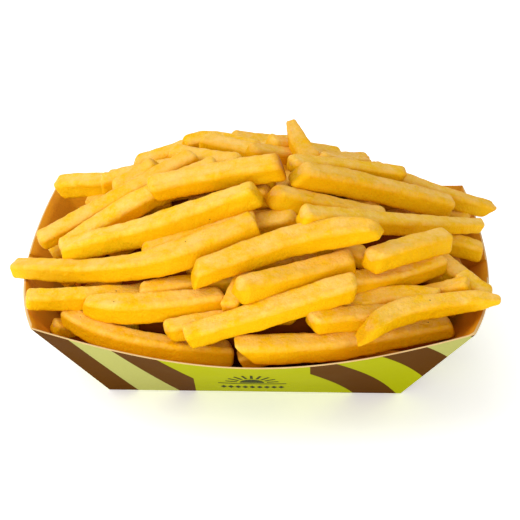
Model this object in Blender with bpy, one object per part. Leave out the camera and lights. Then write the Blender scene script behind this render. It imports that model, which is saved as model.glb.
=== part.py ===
"""French fries heaped in a folded paperboard tray.

Metres, +Z up. The origin is under the middle of the tray's base, +X runs along the tray's
length and +Y away from the side that the photograph shows.
"""

import math

import bmesh
import bpy
import numpy as np

MILLIMETRE = 0.001

# Tray, with its rim sizes measured between the corners
RIM_LENGTH = 0.180
RIM_WIDTH = 0.130
BASE_LENGTH = 0.123
BASE_WIDTH = 0.070
TRAY_HEIGHT = 0.047
BOARD = 0.0006
# How far the load pushes the middle of each wall's rim out
FRONT_BULGE = 0.012
BACK_BULGE = 0.005
END_BULGE = 0.0085
# The corner webs are glued flat inside the end walls. Their cut edges slant from near the
# middle of the rim down towards the corners of the base.
WEB_EDGE_AT_RIM = 0.12
WEB_EDGE_AT_BASE = 0.70
WEB_STEP = 0.012
LONG_WALL_COLUMNS = 12
WEB_COLUMNS = 3

# Heap: the middle lines of its topmost fries lie about on this dome
HEAP_PEAK = 0.086
HEAP_EDGE = 0.0405
HEAP_LEAN = 0.075
HEAP_HALF_LENGTH = 0.096
HEAP_HALF_WIDTH = 0.075
HEAP_BACK = 0.006
# The bare core under the fries that show
CORE_DEPTH = 0.0125
CORE_CLEARANCE = 0.0012
CORE_EDGE = 0.66
CORE_FOOT = 0.02
CORE_RINGS = (0.84, 0.64, 0.42, 0.20)
CORE_COLUMNS = 7

# Fries
FRY_SIDE = 0.009
CUT_CORNER = 0.15
SINK = 0.05
TRAY_GAP = 0.0005
STEEPEST = 0.42
# Half of a fry's diagonal between its cut corners, per side
CORNER_REACH = math.hypot(0.5, 0.5 - CUT_CORNER)
# A fry is felt for what lies below it at points along it and across this share of its width
POINTS_ACROSS = 9
WIDTH_FELT = 0.96
# Fries that show are pushed apart until their middle lines are this share of a side apart
TOUCHING = 0.94
# and less at their ends, which are flat
END_PUSH = 0.75
BASE_OF_SEARCH = 0.028
LYING_STEP = 0.0001
PUSH_ROUNDS = 200
LAST_ROUNDS = 50
PUSH_SHARE = 0.35
DOME_PULL = 0.02
POINTS_ALONG = 21
POINTS_BELOW = 81
LEAST_TOWARDS_EYE = 0.35
WALL_SEARCH = 0.030
LAST_MOVES = 30
# After the others are laid, a shown fry sinks onto them by at most this
MOST_SINKING = 0.006
SINKING_ROUNDS = 8
SINKING_SHARE = 0.6
# Fries that don't show lie on a bed in the tray and fill the heap up to a ceiling
SEED = 11
BED_DEPTH = 0.030
HIDDEN_TRIES = 3600
LONG_HIDDEN = (0.045, 0.078)
SHORT_HIDDEN = (0.026, 0.050)
CEILING_OVERLAP = 0.0015
FRONT_CEILING = 0.001
BACK_CEILING = 0.004
BACK_BEGINS = 0.022
BACK_BLEND = 0.020
HIDDEN_SPREAD = 0.010
HEADING_SPREAD = 0.45
HIDDEN_SIDES = (0.85, 1.06)
HIDDEN_TAPER = 0.94
HIDDEN_POINTS = 33

# Plain colours for this model, each with its roughness
BOARD_LOOK = ((0.55, 0.30, 0.08), 0.55)
FRIES_LOOK = ((0.85, 0.50, 0.08), 0.60)

# The photograph's view, in pixels of its 520 x 520 frame and metres
FRAME_MIDDLE = 260.0
FOCAL = 2732.0
VIEW_DISTANCE = 1.163
VIEW_ELEVATION = math.radians(29.1)
VIEW_AZIMUTH = math.radians(1.45)
VIEW_TARGET = np.array([0.0013, 0.0, 0.0441])

# Each fry that shows: pixels on its middle line, with the fry's side there in millimetres.
# They are in the order in which they lie on each other.
SHOWN = (
    ((60, 187, 8.2), (135, 185, 8.2)),
    ((102, 185, 7.6), (170, 169, 7.8)),
    ((114, 192, 7.8), (157, 164, 7.0)),
    ((39, 242, 6.8), (112, 200, 7.4), (160, 174, 7.4), (196, 156, 7.0)),
    ((61, 252, 7.6), (122, 214, 8.2), (172, 188, 8.2), (218, 166, 7.6)),
    ((184, 145, 6.4), (203, 142, 7.8), (262, 154, 8.0)),
    ((202, 142, 7.6), (262, 157, 8.2)),
    ((250, 152, 6.6), (367, 160, 5.4)),
    ((291, 124, 3.4), (297, 136, 6.6), (303, 148, 8.4), (315, 168, 9.0)),
    ((320, 159, 5.8), (368, 163, 5.0)),
    ((366, 171, 8.2), (489, 210, 6.4)),
    ((290, 166, 7.6), (404, 176, 6.2)),
    ((296, 174, 9.2), (450, 208, 9.0)),
    ((270, 196, 8.8), (385, 220, 8.4)),
    ((398, 234, 8.4), (482, 252, 7.2)),
    ((412, 240, 8.6), (478, 292, 7.6)),
    ((458, 277, 8.0), (491, 297, 7.2)),
    ((300, 218, 9.2), (395, 226, 7.4), (482, 226, 4.8)),
    ((204, 238, 8.4), (297, 218, 8.0)),
    ((150, 190, 8.8), (283, 167, 9.2)),
    ((63, 252, 7.6), (90, 244, 9.0), (150, 229, 9.8), (205, 210, 9.8), (258, 193, 9.4)),
    ((142, 256, 8.0), (256, 220, 8.2)),
    (
        (15, 268, 7.0), (80, 273, 7.8), (138, 268, 8.4),
        (163, 261, 10.0), (190, 253, 10.4), (256, 225, 10.0),
    ),
    ((345, 284, 8.8), (443, 261, 8.0)),
    ((370, 262, 9.0), (448, 240, 8.8)),
    ((384, 305, 8.0), (470, 286, 7.4)),
    ((26, 300, 7.0), (152, 295, 8.0)),
    ((140, 294, 8.0), (290, 279, 8.0)),
    ((53, 327, 6.2), (78, 331, 6.4)),
    ((65, 315, 7.2), (90, 331, 8.2), (130, 343, 8.8), (180, 350, 9.0), (232, 354, 8.6)),
    ((84, 304, 6.6), (103, 308, 9.2), (133, 308, 10.4), (192, 303, 8.8), (226, 298, 8.6)),
    ((166, 332, 7.6), (262, 318, 8.0)),
    ((340, 311, 7.6), (392, 300, 8.4), (438, 300, 8.0)),
    ((310, 322, 8.2), (398, 316, 8.0)),
    ((186, 338, 8.0), (268, 317, 9.2), (356, 286, 9.4)),
    ((229, 309, 7.0), (248, 264, 7.0)),
    ((238, 291, 9.2), (354, 261, 9.2)),
    ((194, 275, 8.6), (250, 257, 9.8), (300, 241, 9.9), (352, 231, 9.8), (379, 230, 6.4)),
    ((242, 350, 8.6), (262, 350, 9.8), (330, 347, 9.4), (452, 326, 7.2)),
    (
        (364, 331, 7.4), (391, 315, 8.4), (416, 309, 8.4),
        (449, 305, 7.4), (476, 300, 7.0), (501, 300, 2.6),
    ),
)

RIM_BULGES = {"front": FRONT_BULGE, "back": BACK_BULGE, "left": END_BULGE, "right": END_BULGE}
# Unit vectors along each wall, walked counter-clockwise from above, and out of the tray
WALLS = {
    "front": ((1, 0), (0, -1)),
    "right": ((0, 1), (1, 0)),
    "back": ((-1, 0), (0, 1)),
    "left": ((0, -1), (-1, 0)),
}


def wall_point(side, across, up):
    """A point of a wall's outer face: across runs from -1 to 1 and up from 0 to 1.

    The board keeps its length, so where its rim is pushed out it also sinks.
    """
    along, out = (np.array(v, float) for v in WALLS[side])
    long_wall = side in ("front", "back")
    base_half, rim_half = (BASE_LENGTH, RIM_LENGTH) if long_wall else (BASE_WIDTH, RIM_WIDTH)
    base_out, rim_out = (BASE_WIDTH, RIM_WIDTH) if long_wall else (BASE_LENGTH, RIM_LENGTH)
    run = (rim_out - base_out) / 2
    board_length = math.hypot(run, TRAY_HEIGHT)
    reach = run + RIM_BULGES[side] * (1 - across**2)
    height = math.sqrt(board_length**2 - reach**2)
    half = (base_half + (rim_half - base_half) * up) / 2
    place = along * across * half + out * (base_out / 2 + up * reach)
    return (place[0], place[1], up * height)


def wall_columns(side, up):
    """Where a wall's columns stand, with whether the glued web doubles the board there."""
    if side in ("front", "back"):
        return [(t, 1) for t in np.linspace(-1, 1, LONG_WALL_COLUMNS + 1)[:-1]]
    edge = WEB_EDGE_AT_BASE + (WEB_EDGE_AT_RIM - WEB_EDGE_AT_BASE) * up
    web = [(t, 2) for t in np.linspace(-1, -edge, WEB_COLUMNS + 1)]
    free = [(t, 1) for t in np.linspace(-edge + WEB_STEP, edge - WEB_STEP, WEB_COLUMNS + 1)]
    other = [(t, 2) for t in np.linspace(edge, 1, WEB_COLUMNS + 1)[:-1]]
    return web + free + other


def tray_ring(mesh, up):
    """The vertices round the tray at one level, with the layers of board at each."""
    ring = []
    for side in WALLS:
        for across, layers in wall_columns(side, up):
            ring.append((mesh.verts.new(wall_point(side, across, up)), layers))
    return ring


def bridge(mesh, lower, upper):
    """Quads between two closed loops of equal length that run the same way."""
    for i in range(len(lower)):
        j = (i + 1) % len(lower)
        mesh.faces.new((lower[i], lower[j], upper[j], upper[i]))


def make_object(name, mesh, look):
    """Turn a bmesh into a named object with its own material."""
    bmesh.ops.recalc_face_normals(mesh, faces=mesh.faces)
    data = bpy.data.meshes.new(name)
    mesh.to_mesh(data)
    mesh.free()
    obj = bpy.data.objects.new(name, data)
    bpy.context.collection.objects.link(obj)
    material = bpy.data.materials.new(name)
    material.use_nodes = True
    shader = material.node_tree.nodes["Principled BSDF"]
    colour, roughness = look
    shader.inputs["Base Color"].default_value = (*colour, 1)
    shader.inputs["Roughness"].default_value = roughness
    shader.inputs["Metallic"].default_value = 0.0
    data.materials.append(material)
    return obj


def make_carton():
    """The tray: one folded blank, closed by its thickness, with the webs glued inside."""
    mesh = bmesh.new()
    levels = (0, 0.5, 1)
    outer = [tray_ring(mesh, up) for up in levels]
    for lower, upper in zip(outer, outer[1:]):
        bridge(mesh, [v for v, _ in lower], [v for v, _ in upper])
    mesh.faces.new([v for v, _ in reversed(outer[0])])
    mesh.normal_update()
    inner = []
    for ring in outer:
        level = []
        for vertex, layers in ring:
            inward = vertex.normal * vertex.calc_shell_factor()
            level.append((vertex.co - inward * BOARD * layers).to_tuple())
        inner.append([mesh.verts.new(place) for place in level])
    for lower, upper in zip(inner, inner[1:]):
        bridge(mesh, list(reversed(lower)), list(reversed(upper)))
    for vertex in inner[0]:
        vertex.co.z = BOARD
    mesh.faces.new(inner[0])
    bridge(mesh, [v for v, _ in outer[-1]], inner[-1])
    bmesh.ops.triangulate(mesh, faces=mesh.faces)
    return make_object("carton", mesh, BOARD_LOOK)


# Height maps: the top of the tray and of the food so far, on a grid seen from above
CELL = 0.001
MAP_X = np.arange(-0.120, 0.1201, CELL)
MAP_Y = np.arange(-0.095, 0.0951, CELL)
NOTHING = -1.0


def empty_map():
    return np.full((len(MAP_X), len(MAP_Y)), NOTHING)


def map_faces(heights, data):
    """Raise a height map to the triangles of a mesh."""
    data.calc_loop_triangles()
    places = np.array([v.co for v in data.vertices])
    for triangle in data.loop_triangles:
        a, b, c = places[list(triangle.vertices)]
        det = (b[1] - c[1]) * (a[0] - c[0]) + (c[0] - b[0]) * (a[1] - c[1])
        if abs(det) < 1e-12:
            continue
        low, high = np.minimum(np.minimum(a, b), c), np.maximum(np.maximum(a, b), c)
        i = slice(*np.searchsorted(MAP_X, (low[0], high[0])))
        j = slice(*np.searchsorted(MAP_Y, (low[1], high[1])))
        x, y = np.meshgrid(MAP_X[i], MAP_Y[j], indexing="ij")
        p = ((b[1] - c[1]) * (x - c[0]) + (c[0] - b[0]) * (y - c[1])) / det
        q = ((c[1] - a[1]) * (x - c[0]) + (a[0] - c[0]) * (y - c[1])) / det
        height = p * a[2] + q * b[2] + (1 - p - q) * c[2]
        inside = (p >= 0) & (q >= 0) & (p + q <= 1)
        heights[i, j] = np.where(inside, np.maximum(heights[i, j], height), heights[i, j])


def read_map(heights, x, y):
    """Heights at places between the grid's points."""
    u = np.clip((x - MAP_X[0]) / CELL, 0, len(MAP_X) - 1.001)
    v = np.clip((y - MAP_Y[0]) / CELL, 0, len(MAP_Y) - 1.001)
    i, j = u.astype(int), v.astype(int)
    fu, fv = u - i, v - j
    corners = (heights[i, j], heights[i + 1, j], heights[i, j + 1], heights[i + 1, j + 1])
    mixed = (
        corners[0] * (1 - fu) * (1 - fv)
        + corners[1] * fu * (1 - fv)
        + corners[2] * (1 - fu) * fv
        + corners[3] * fu * fv
    )
    nearest = np.max(corners, axis=0)
    return np.where(np.min(corners, axis=0) == NOTHING, nearest, mixed)


def heap_top(x, y):
    """The height of the dome on which the topmost fries lie, lower in front than behind."""
    spread = (x / HEAP_HALF_LENGTH) ** 2 + ((y - HEAP_BACK) / HEAP_HALF_WIDTH) ** 2
    return HEAP_EDGE + HEAP_LEAN * y + (HEAP_PEAK - HEAP_EDGE) * (1 - spread)


def core_mesh():
    """The part of the heap that no one sees: it fills the tray and rises in a low dome."""
    mesh = bmesh.new()
    rings = []
    steps = [2 * k / CORE_COLUMNS - 1 for k in range(CORE_COLUMNS)]
    square = [(t, -1) for t in steps] + [(1, t) for t in steps]
    square += [(-t, 1) for t in steps] + [(-1, -t) for t in steps]

    def inner_place(place, up):
        """A point of the tray's inside outline at one level, a little in from the board."""
        half_x = (BASE_LENGTH + (RIM_LENGTH - BASE_LENGTH) * up) / 2
        half_y = (BASE_WIDTH + (RIM_WIDTH - BASE_WIDTH) * up) / 2
        slant = 2 * BOARD + 2 * CORE_CLEARANCE
        return (place[0] * (half_x - slant), place[1] * (half_y - slant))

    for up in (CORE_FOOT, CORE_EDGE):
        level = []
        for corner in square:
            x, y = inner_place(corner, up)
            level.append(mesh.verts.new((x, y, BOARD + CORE_CLEARANCE + up * TRAY_HEIGHT)))
        rings.append(level)
    edge_height = BOARD + CORE_CLEARANCE + CORE_EDGE * TRAY_HEIGHT
    for radius in CORE_RINGS:
        level = []
        for corner in square:
            x, y = (radius * v for v in inner_place(corner, CORE_EDGE))
            level.append(mesh.verts.new((x, y, max(heap_top(x, y) - CORE_DEPTH, edge_height))))
        rings.append(level)
    for lower, upper in zip(rings, rings[1:]):
        bridge(mesh, lower, upper)
    mesh.faces.new(rings[-1])
    mesh.faces.new(list(reversed(rings[0])))
    bmesh.ops.triangulate(mesh, faces=mesh.faces)
    return mesh


# The photograph's view
VIEW_BACK = np.array([
    math.sin(VIEW_AZIMUTH) * math.cos(VIEW_ELEVATION),
    -math.cos(VIEW_AZIMUTH) * math.cos(VIEW_ELEVATION),
    math.sin(VIEW_ELEVATION),
])
VIEW_RIGHT = np.array([math.cos(VIEW_AZIMUTH), math.sin(VIEW_AZIMUTH), 0.0])
VIEW_UP = np.cross(VIEW_BACK, VIEW_RIGHT)


def seen_at(places):
    """The pixels where places show in the photograph."""
    offset = np.asarray(places) - VIEW_TARGET
    depth = VIEW_DISTANCE - offset @ VIEW_BACK
    across = FRAME_MIDDLE + FOCAL * (offset @ VIEW_RIGHT) / depth
    down = FRAME_MIDDLE - FOCAL * (offset @ VIEW_UP) / depth
    return across, down


def on_sight_lines(pixels, heights):
    """The place at each height that shows at each pixel."""
    eye = VIEW_TARGET + VIEW_BACK * VIEW_DISTANCE
    across = (pixels[:, :1] - FRAME_MIDDLE) / FOCAL
    down = (pixels[:, 1:] - FRAME_MIDDLE) / FOCAL
    rays = -VIEW_BACK + across * VIEW_RIGHT - down * VIEW_UP
    reach = (heights - eye[2]) / rays[:, 2]
    return eye + rays * reach[:, None]


def meet_dome(pixels):
    """The heights at which the sight lines of pixels first meet the dome of the heap."""
    reached = np.full(len(pixels), HEAP_EDGE)
    nearest = np.full(len(pixels), -1.0)
    for height in np.arange(HEAP_PEAK, BASE_OF_SEARCH, -CELL / 2):
        place = on_sight_lines(pixels, np.full(len(pixels), height))
        depth = heap_top(place[:, 0], place[:, 1]) - height
        closer = (depth > nearest) & (nearest < 0)
        reached = np.where(closer, height, reached)
        nearest = np.where(closer, depth, nearest)
    return reached


class ShownFry:
    """A fry that the photograph shows: its pixels are fixed, the heights of its ends aren't."""

    def __init__(self, row, order):
        pixels = np.array(row, float)[:, :2]
        steps = np.linalg.norm(np.diff(pixels, axis=0), axis=1)
        reached = np.concatenate(([0], np.cumsum(steps))) / steps.sum()
        self.share = np.linspace(0, 1, POINTS_ALONG)
        self.pixels = np.column_stack([np.interp(self.share, reached, c) for c in pixels.T])
        self.corner_shares = reached
        self.sides = np.array([point[2] for point in row]) * MILLIMETRE
        dome = meet_dome(self.pixels)
        self.dome = np.polyval(np.polyfit(self.share, dome, 1), np.array([0, 1]))
        self.ends = self.dome + order
        self.radii = np.interp(self.share, reached, self.sides) / 2
        blunt = np.ones(POINTS_ALONG)
        blunt[[0, -1]] = END_PUSH
        self.pushed = self.radii * blunt * TOUCHING

    def line(self):
        """Points along the fry's middle line."""
        heights = self.ends[0] + (self.ends[1] - self.ends[0]) * self.share
        return on_sight_lines(self.pixels, heights)

    def push(self, where, rise):
        """Raise or lower the fry by the given height at one share of its length."""
        weight = (1 - where) ** 2 + where**2
        self.ends = self.ends + rise * np.array([1 - where, where]) / weight

    def limit_tilt(self, line):
        span = np.linalg.norm(line[-1, :2] - line[0, :2])
        rise = self.ends[1] - self.ends[0]
        most = STEEPEST * span
        if abs(rise) > most:
            middle = self.ends.mean()
            self.ends = middle + np.array([-0.5, 0.5]) * math.copysign(most, rise)

    def path(self):
        """The few points that the fry is built on."""
        line = self.line()
        return np.column_stack([np.interp(self.corner_shares, self.share, c) for c in line.T])


def rise_wanted(heights, line, radii):
    """How far each point of a fry must rise to be clear of what lies below it."""
    share = np.linspace(0, 1, POINTS_BELOW)
    known = np.linspace(0, 1, len(line))
    x, y, z, reach = (np.interp(share, known, c)[:, None] for c in (*line.T, radii))
    ahead = line[-1, :2] - line[0, :2]
    ahead = ahead / np.linalg.norm(ahead)
    off = np.linspace(-WIDTH_FELT, WIDTH_FELT, POINTS_ACROSS)[None, :] * reach
    under = read_map(heights, x - off * ahead[1], y + off * ahead[0])
    wanted = np.where(under < z, under + np.sqrt(reach**2 - off**2) - z, NOTHING)
    return share, np.max(wanted, axis=1)


def caught_in_tray(fry, tray):
    """How far a fry is inside the tray's board, and at which share of its length.

    The flat ends of a tilted fry reach a little past its middle line.
    """
    line = fry.line()
    ahead = line[-1] - line[0]
    ahead = ahead / np.linalg.norm(ahead)
    line[0] -= ahead * abs(ahead[2]) * fry.radii[0]
    line[-1] += ahead * abs(ahead[2]) * fry.radii[-1]
    reach = fry.radii * 2 * CORNER_REACH + TRAY_GAP
    share, wanted = rise_wanted(tray, line + [0, 0, WALL_SEARCH], reach)
    worst = int(np.argmax(wanted))
    return wanted[worst] + WALL_SEARCH, share[worst]


def free_from_tray(fry, tray):
    """Move a fry off the board along its sight lines, whichever way helps more.

    Raising it frees it from the end walls and the back, lowering it from the front wall.
    """
    caught, worst = caught_in_tray(fry, tray)
    if caught <= 0:
        return True
    before = fry.ends
    choices = []
    for rise in (caught + TRAY_GAP / 5, -caught - TRAY_GAP / 5):
        fry.ends = before
        fry.push(worst, rise / 2)
        choices.append((caught_in_tray(fry, tray)[0], fry.ends))
    fry.ends = min(choices, key=lambda choice: choice[0])[1]
    return False


def push_apart(fries, tray, rounds, pull):
    """Move the shown fries along their sight lines until each lies on those before it."""
    for _ in range(rounds):
        lines = [fry.line() for fry in fries]
        lows = np.array([line.min(axis=0) - FRY_SIDE for line in lines])
        highs = np.array([line.max(axis=0) + FRY_SIDE for line in lines])
        for fry in fries:
            fry.ends = fry.ends + pull * (fry.dome - fry.ends)
        for j in range(len(fries)):
            near = np.all((lows[:j] < highs[j]) & (highs[:j] > lows[j]), axis=1)
            for i in np.flatnonzero(near):
                apart = lines[j][None, :, :] - lines[i][:, None, :]
                distance = np.linalg.norm(apart, axis=2)
                wanted = fries[i].pushed[:, None] + fries[j].pushed[None, :]
                deep = wanted - distance
                a, b = np.unravel_index(np.argmax(deep), deep.shape)
                if deep[a, b] <= 0:
                    continue
                towards = apart[a, b] @ VIEW_BACK / distance[a, b]
                move = PUSH_SHARE * deep[a, b] / max(towards, LEAST_TOWARDS_EYE) * VIEW_BACK[2]
                fries[i].push(fries[i].share[a], -move)
                fries[j].push(fries[j].share[b], move)
        for fry in fries:
            fry.limit_tilt(fry.line())
            free_from_tray(fry, tray)
    for fry in fries:
        for _ in range(LAST_MOVES):
            if free_from_tray(fry, tray):
                break


class Heap:
    """Fries in the tray: those that show, and others laid one by one to carry them."""

    def __init__(self, tray):
        self.tray = empty_map()
        map_faces(self.tray, tray.data)
        bed = heap_top(*np.meshgrid(MAP_X, MAP_Y, indexing="ij")) - BED_DEPTH
        self.food = np.where(self.tray == NOTHING, NOTHING, bed)
        self.ceiling = empty_map()
        self.shown = [ShownFry(row, LYING_STEP * number) for number, row in enumerate(SHOWN)]
        self.hidden = []

    def cells_under(self, start, end, radius):
        """The map's cells under a stretch of a fry, with their places along and beside it."""
        low = np.minimum(start, end)[:2] - radius
        high = np.maximum(start, end)[:2] + radius
        i = slice(*np.searchsorted(MAP_X, (low[0], high[0])))
        j = slice(*np.searchsorted(MAP_Y, (low[1], high[1])))
        x, y = np.meshgrid(MAP_X[i], MAP_Y[j], indexing="ij")
        span = end[:2] - start[:2]
        length = np.linalg.norm(span)
        run = span / length
        along = ((x - start[0]) * run[0] + (y - start[1]) * run[1]) / length
        off = (y - start[1]) * run[0] - (x - start[0]) * run[1]
        inside = (along >= 0) & (along <= 1) & (np.abs(off) <= radius)
        middle = start[2] + (end[2] - start[2]) * along
        return (i, j), inside, middle, np.sqrt(np.maximum(radius**2 - off**2, 0))

    def make_ceiling(self):
        """Hidden fries stay under this: the shown ones, or a depth under the dome."""
        x, y = np.meshgrid(MAP_X, MAP_Y, indexing="ij")
        blend = np.clip((y - BACK_BEGINS) / BACK_BLEND + 0.5, 0, 1)
        self.ceiling = heap_top(x, y) + FRONT_CEILING + blend * (BACK_CEILING - FRONT_CEILING)
        self.ceiling = self.ceiling + FRY_SIDE / 2
        for fry in self.shown:
            line = fry.line()
            for k in range(len(line) - 1):
                radius = fry.radii[k]
                cells, inside, middle, half = self.cells_under(line[k], line[k + 1], radius)
                under = middle - half + CEILING_OVERLAP
                lowered = np.minimum(self.ceiling[cells], under)
                self.ceiling[cells] = np.where(inside, lowered, self.ceiling[cells])

    def stamp(self, line, radii):
        """Raise the food's height map by a fry."""
        for k in range(len(line) - 1):
            cells, inside, middle, half = self.cells_under(line[k], line[k + 1], radii[k])
            raised = np.maximum(self.food[cells], middle + half)
            self.food[cells] = np.where(inside, raised, self.food[cells])

    def sink(self, fry):
        """Lower each half of a shown fry along its sight lines until something carries it."""
        lowest = fry.ends - MOST_SINKING
        for _ in range(SINKING_ROUNDS):
            line = fry.line()
            share, on_food = rise_wanted(self.food, line, fry.radii * (1 - 2 * SINK))
            reach = fry.radii * 2 * CORNER_REACH + TRAY_GAP
            _, on_tray = rise_wanted(self.tray, line, reach)
            free = -np.maximum(on_food, on_tray)
            room = np.array([free[share <= 0.5].min(), free[share >= 0.5].min()])
            fry.ends = np.maximum(fry.ends - np.maximum(room, 0) * SINKING_SHARE, lowest)
        self.stamp(fry.line(), fry.radii)

    def rest_line(self, first, last, side):
        """The height at the middle and the slope at which a fry comes to rest."""
        span = last[:2] - first[:2]
        length = np.linalg.norm(span)
        run = span / length
        aside = np.array([-run[1], run[0]])
        centre = (first[:2] + last[:2]) / 2
        along = np.linspace(-length / 2, length / 2, HIDDEN_POINTS)[:, None]
        needed = []
        for heights, radius in (
            (self.food, side * (0.5 - SINK)),
            (self.tray, side * CORNER_REACH + TRAY_GAP),
        ):
            off = np.linspace(-WIDTH_FELT, WIDTH_FELT, POINTS_ACROSS)[None, :] * radius
            x = centre[0] + along * run[0] + off * aside[0]
            y = centre[1] + along * run[1] + off * aside[1]
            needed.append(np.max(read_map(heights, x, y) + np.sqrt(radius**2 - off**2), axis=1))
        need = np.max(needed, axis=0)
        places = along[:, 0]
        hull = []
        for k in range(len(places)):
            while len(hull) > 1:
                a, b = hull[-2], hull[-1]
                rise_ab = (need[b] - need[a]) * (places[k] - places[a])
                rise_ak = (need[k] - need[a]) * (places[b] - places[a])
                if rise_ab > rise_ak:
                    break
                hull.pop()
            hull.append(k)
        slope = 0.0
        for a, b in zip(hull, hull[1:]):
            if places[a] <= 0 <= places[b]:
                slope = (need[b] - need[a]) / (places[b] - places[a])
        slope = min(max(slope, -STEEPEST), STEEPEST)
        return np.max(need - slope * places), slope

    def lay_hidden(self, centre, heading, length, side):
        """Drop a fry onto the heap, and keep it if it stays under the ceiling."""
        run = np.array([math.cos(heading), math.sin(heading)])
        path = np.zeros((2, 3))
        path[0, :2] = centre - run * length / 2
        path[1, :2] = centre + run * length / 2
        middle, slope = self.rest_line(path[0], path[1], side)
        if middle < 0:
            return
        path[:, 2] = middle + slope * length / 2 * np.array([-1, 1])
        cells, inside, level, half = self.cells_under(path[0], path[1], side / 2)
        top = level + half
        if np.any(inside & (top > self.ceiling[cells])):
            return
        self.stamp(path, np.full(2, side / 2))
        self.hidden.append((path, np.array([side, side * HIDDEN_TAPER])))

    def fill(self):
        """Place the fries that show, then lay others under and behind them."""
        push_apart(self.shown, self.tray, PUSH_ROUNDS, DOME_PULL)
        self.make_ceiling()
        rng = np.random.default_rng(SEED)
        for number in range(HIDDEN_TRIES):
            over = self.shown[number % len(self.shown)].line()[rng.integers(POINTS_ALONG)]
            centre = over[:2] + rng.normal(0, HIDDEN_SPREAD, 2)
            if number % 2:
                centre[1] = rng.uniform(0, RIM_WIDTH / 2)
            heading = rng.normal(0, HEADING_SPREAD)
            shortest, longest = LONG_HIDDEN if number < HIDDEN_TRIES / 2 else SHORT_HIDDEN
            length = rng.uniform(shortest, longest)
            self.lay_hidden(centre, heading, length, FRY_SIDE * rng.uniform(*HIDDEN_SIDES))
        for fry in self.shown:
            self.sink(fry)
        push_apart(self.shown, self.tray, LAST_ROUNDS, 0)

    def paths(self):
        """Every fry's path and its side at each point of it."""
        return self.hidden + [(fry.path(), fry.sides) for fry in self.shown]


def fry_mesh(path, sides):
    """A fry with few faces: square, with its long corners cut off."""
    mesh = bmesh.new()
    rings = []
    for k, (place, side) in enumerate(zip(path, sides)):
        ahead = path[min(k + 1, len(path) - 1)] - path[max(k - 1, 0)]
        ahead = ahead / np.linalg.norm(ahead)
        aside = np.cross((0, 0, 1), ahead)
        aside = aside / np.linalg.norm(aside)
        above = np.cross(ahead, aside)
        flat, cut = side / 2, side * (0.5 - CUT_CORNER)
        corners = (
            (flat, -cut), (flat, cut), (cut, flat), (-cut, flat),
            (-flat, cut), (-flat, -cut), (-cut, -flat), (cut, -flat),
        )
        rings.append([mesh.verts.new(place + aside * a + above * b) for a, b in corners])
    for lower, upper in zip(rings, rings[1:]):
        bridge(mesh, lower, upper)
    mesh.faces.new(list(reversed(rings[0])))
    mesh.faces.new(rings[-1])
    return mesh


def keep_outside_only(obj):
    """Drop loose scraps and the walls of sealed hollows, which fills them."""
    mesh = bmesh.new()
    mesh.from_mesh(obj.data)
    mesh.verts.index_update()
    left = set(mesh.verts)
    pieces = []
    while left:
        start = left.pop()
        piece, edge = {start}, [start]
        while edge:
            vertex = edge.pop()
            for link in vertex.link_edges:
                other = link.other_vert(vertex)
                if other in left:
                    left.remove(other)
                    piece.add(other)
                    edge.append(other)
        pieces.append(piece)
    widest = max(pieces, key=lambda p: max(v.co.x for v in p) - min(v.co.x for v in p))
    scraps = [v for piece in pieces if piece is not widest for v in piece]
    bmesh.ops.delete(mesh, geom=scraps, context="VERTS")
    mesh.to_mesh(obj.data)
    mesh.free()


def make_fries(tray):
    """The heap as one solid: the core with the fries fused on."""
    core = make_object("fries", core_mesh(), FRIES_LOOK)
    heap = Heap(tray)
    heap.fill()
    pile = bpy.data.collections.new("pile")
    bpy.context.scene.collection.children.link(pile)
    for number, (path, sides) in enumerate(heap.paths()):
        fry = make_object(f"fry_{number:03d}", fry_mesh(path, sides), FRIES_LOOK)
        bpy.context.collection.objects.unlink(fry)
        pile.objects.link(fry)
    union = core.modifiers.new("union", "BOOLEAN")
    union.operation = "UNION"
    union.operand_type = "COLLECTION"
    union.solver = "EXACT"
    union.collection = pile
    depsgraph = bpy.context.evaluated_depsgraph_get()
    fused = bpy.data.meshes.new_from_object(core.evaluated_get(depsgraph))
    core.modifiers.clear()
    core.data = fused
    for fry in list(pile.objects):
        bpy.data.objects.remove(fry)
    bpy.data.collections.remove(pile)
    keep_outside_only(core)
    return heap


def main():
    for obj in list(bpy.data.objects):
        bpy.data.objects.remove(obj)
    tray = make_carton()
    return make_fries(tray)


HEAP = main()
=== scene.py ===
"""French fries heaped in a printed paperboard tray, at the photograph's angle.

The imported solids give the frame. The heap is laid again here by the same steps as the part's,
so every fry lies where the solid has it, and each is then built as a separate detailed piece.
Metres, +Z up.
"""

import math

import bmesh
import bpy
import numpy as np
from mathutils import Matrix, Vector, noise

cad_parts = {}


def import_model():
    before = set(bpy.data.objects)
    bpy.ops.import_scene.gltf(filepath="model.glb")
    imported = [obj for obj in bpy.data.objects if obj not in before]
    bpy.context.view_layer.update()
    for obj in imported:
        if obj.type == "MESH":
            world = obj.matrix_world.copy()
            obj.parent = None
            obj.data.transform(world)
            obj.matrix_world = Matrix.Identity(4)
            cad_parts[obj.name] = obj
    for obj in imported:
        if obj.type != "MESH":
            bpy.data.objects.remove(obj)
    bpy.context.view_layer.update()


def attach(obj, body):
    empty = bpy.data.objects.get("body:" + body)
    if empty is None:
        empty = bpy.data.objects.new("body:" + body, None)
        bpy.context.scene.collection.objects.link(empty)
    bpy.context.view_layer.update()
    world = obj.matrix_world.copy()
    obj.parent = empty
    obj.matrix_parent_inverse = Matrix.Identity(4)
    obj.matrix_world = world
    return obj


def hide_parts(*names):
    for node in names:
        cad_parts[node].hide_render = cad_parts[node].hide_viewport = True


MILLIMETRE = 0.001

# Tray, with its rim sizes measured between the corners
RIM_LENGTH = 0.180
RIM_WIDTH = 0.130
BASE_LENGTH = 0.123
BASE_WIDTH = 0.070
TRAY_HEIGHT = 0.047
BOARD = 0.0006
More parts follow.
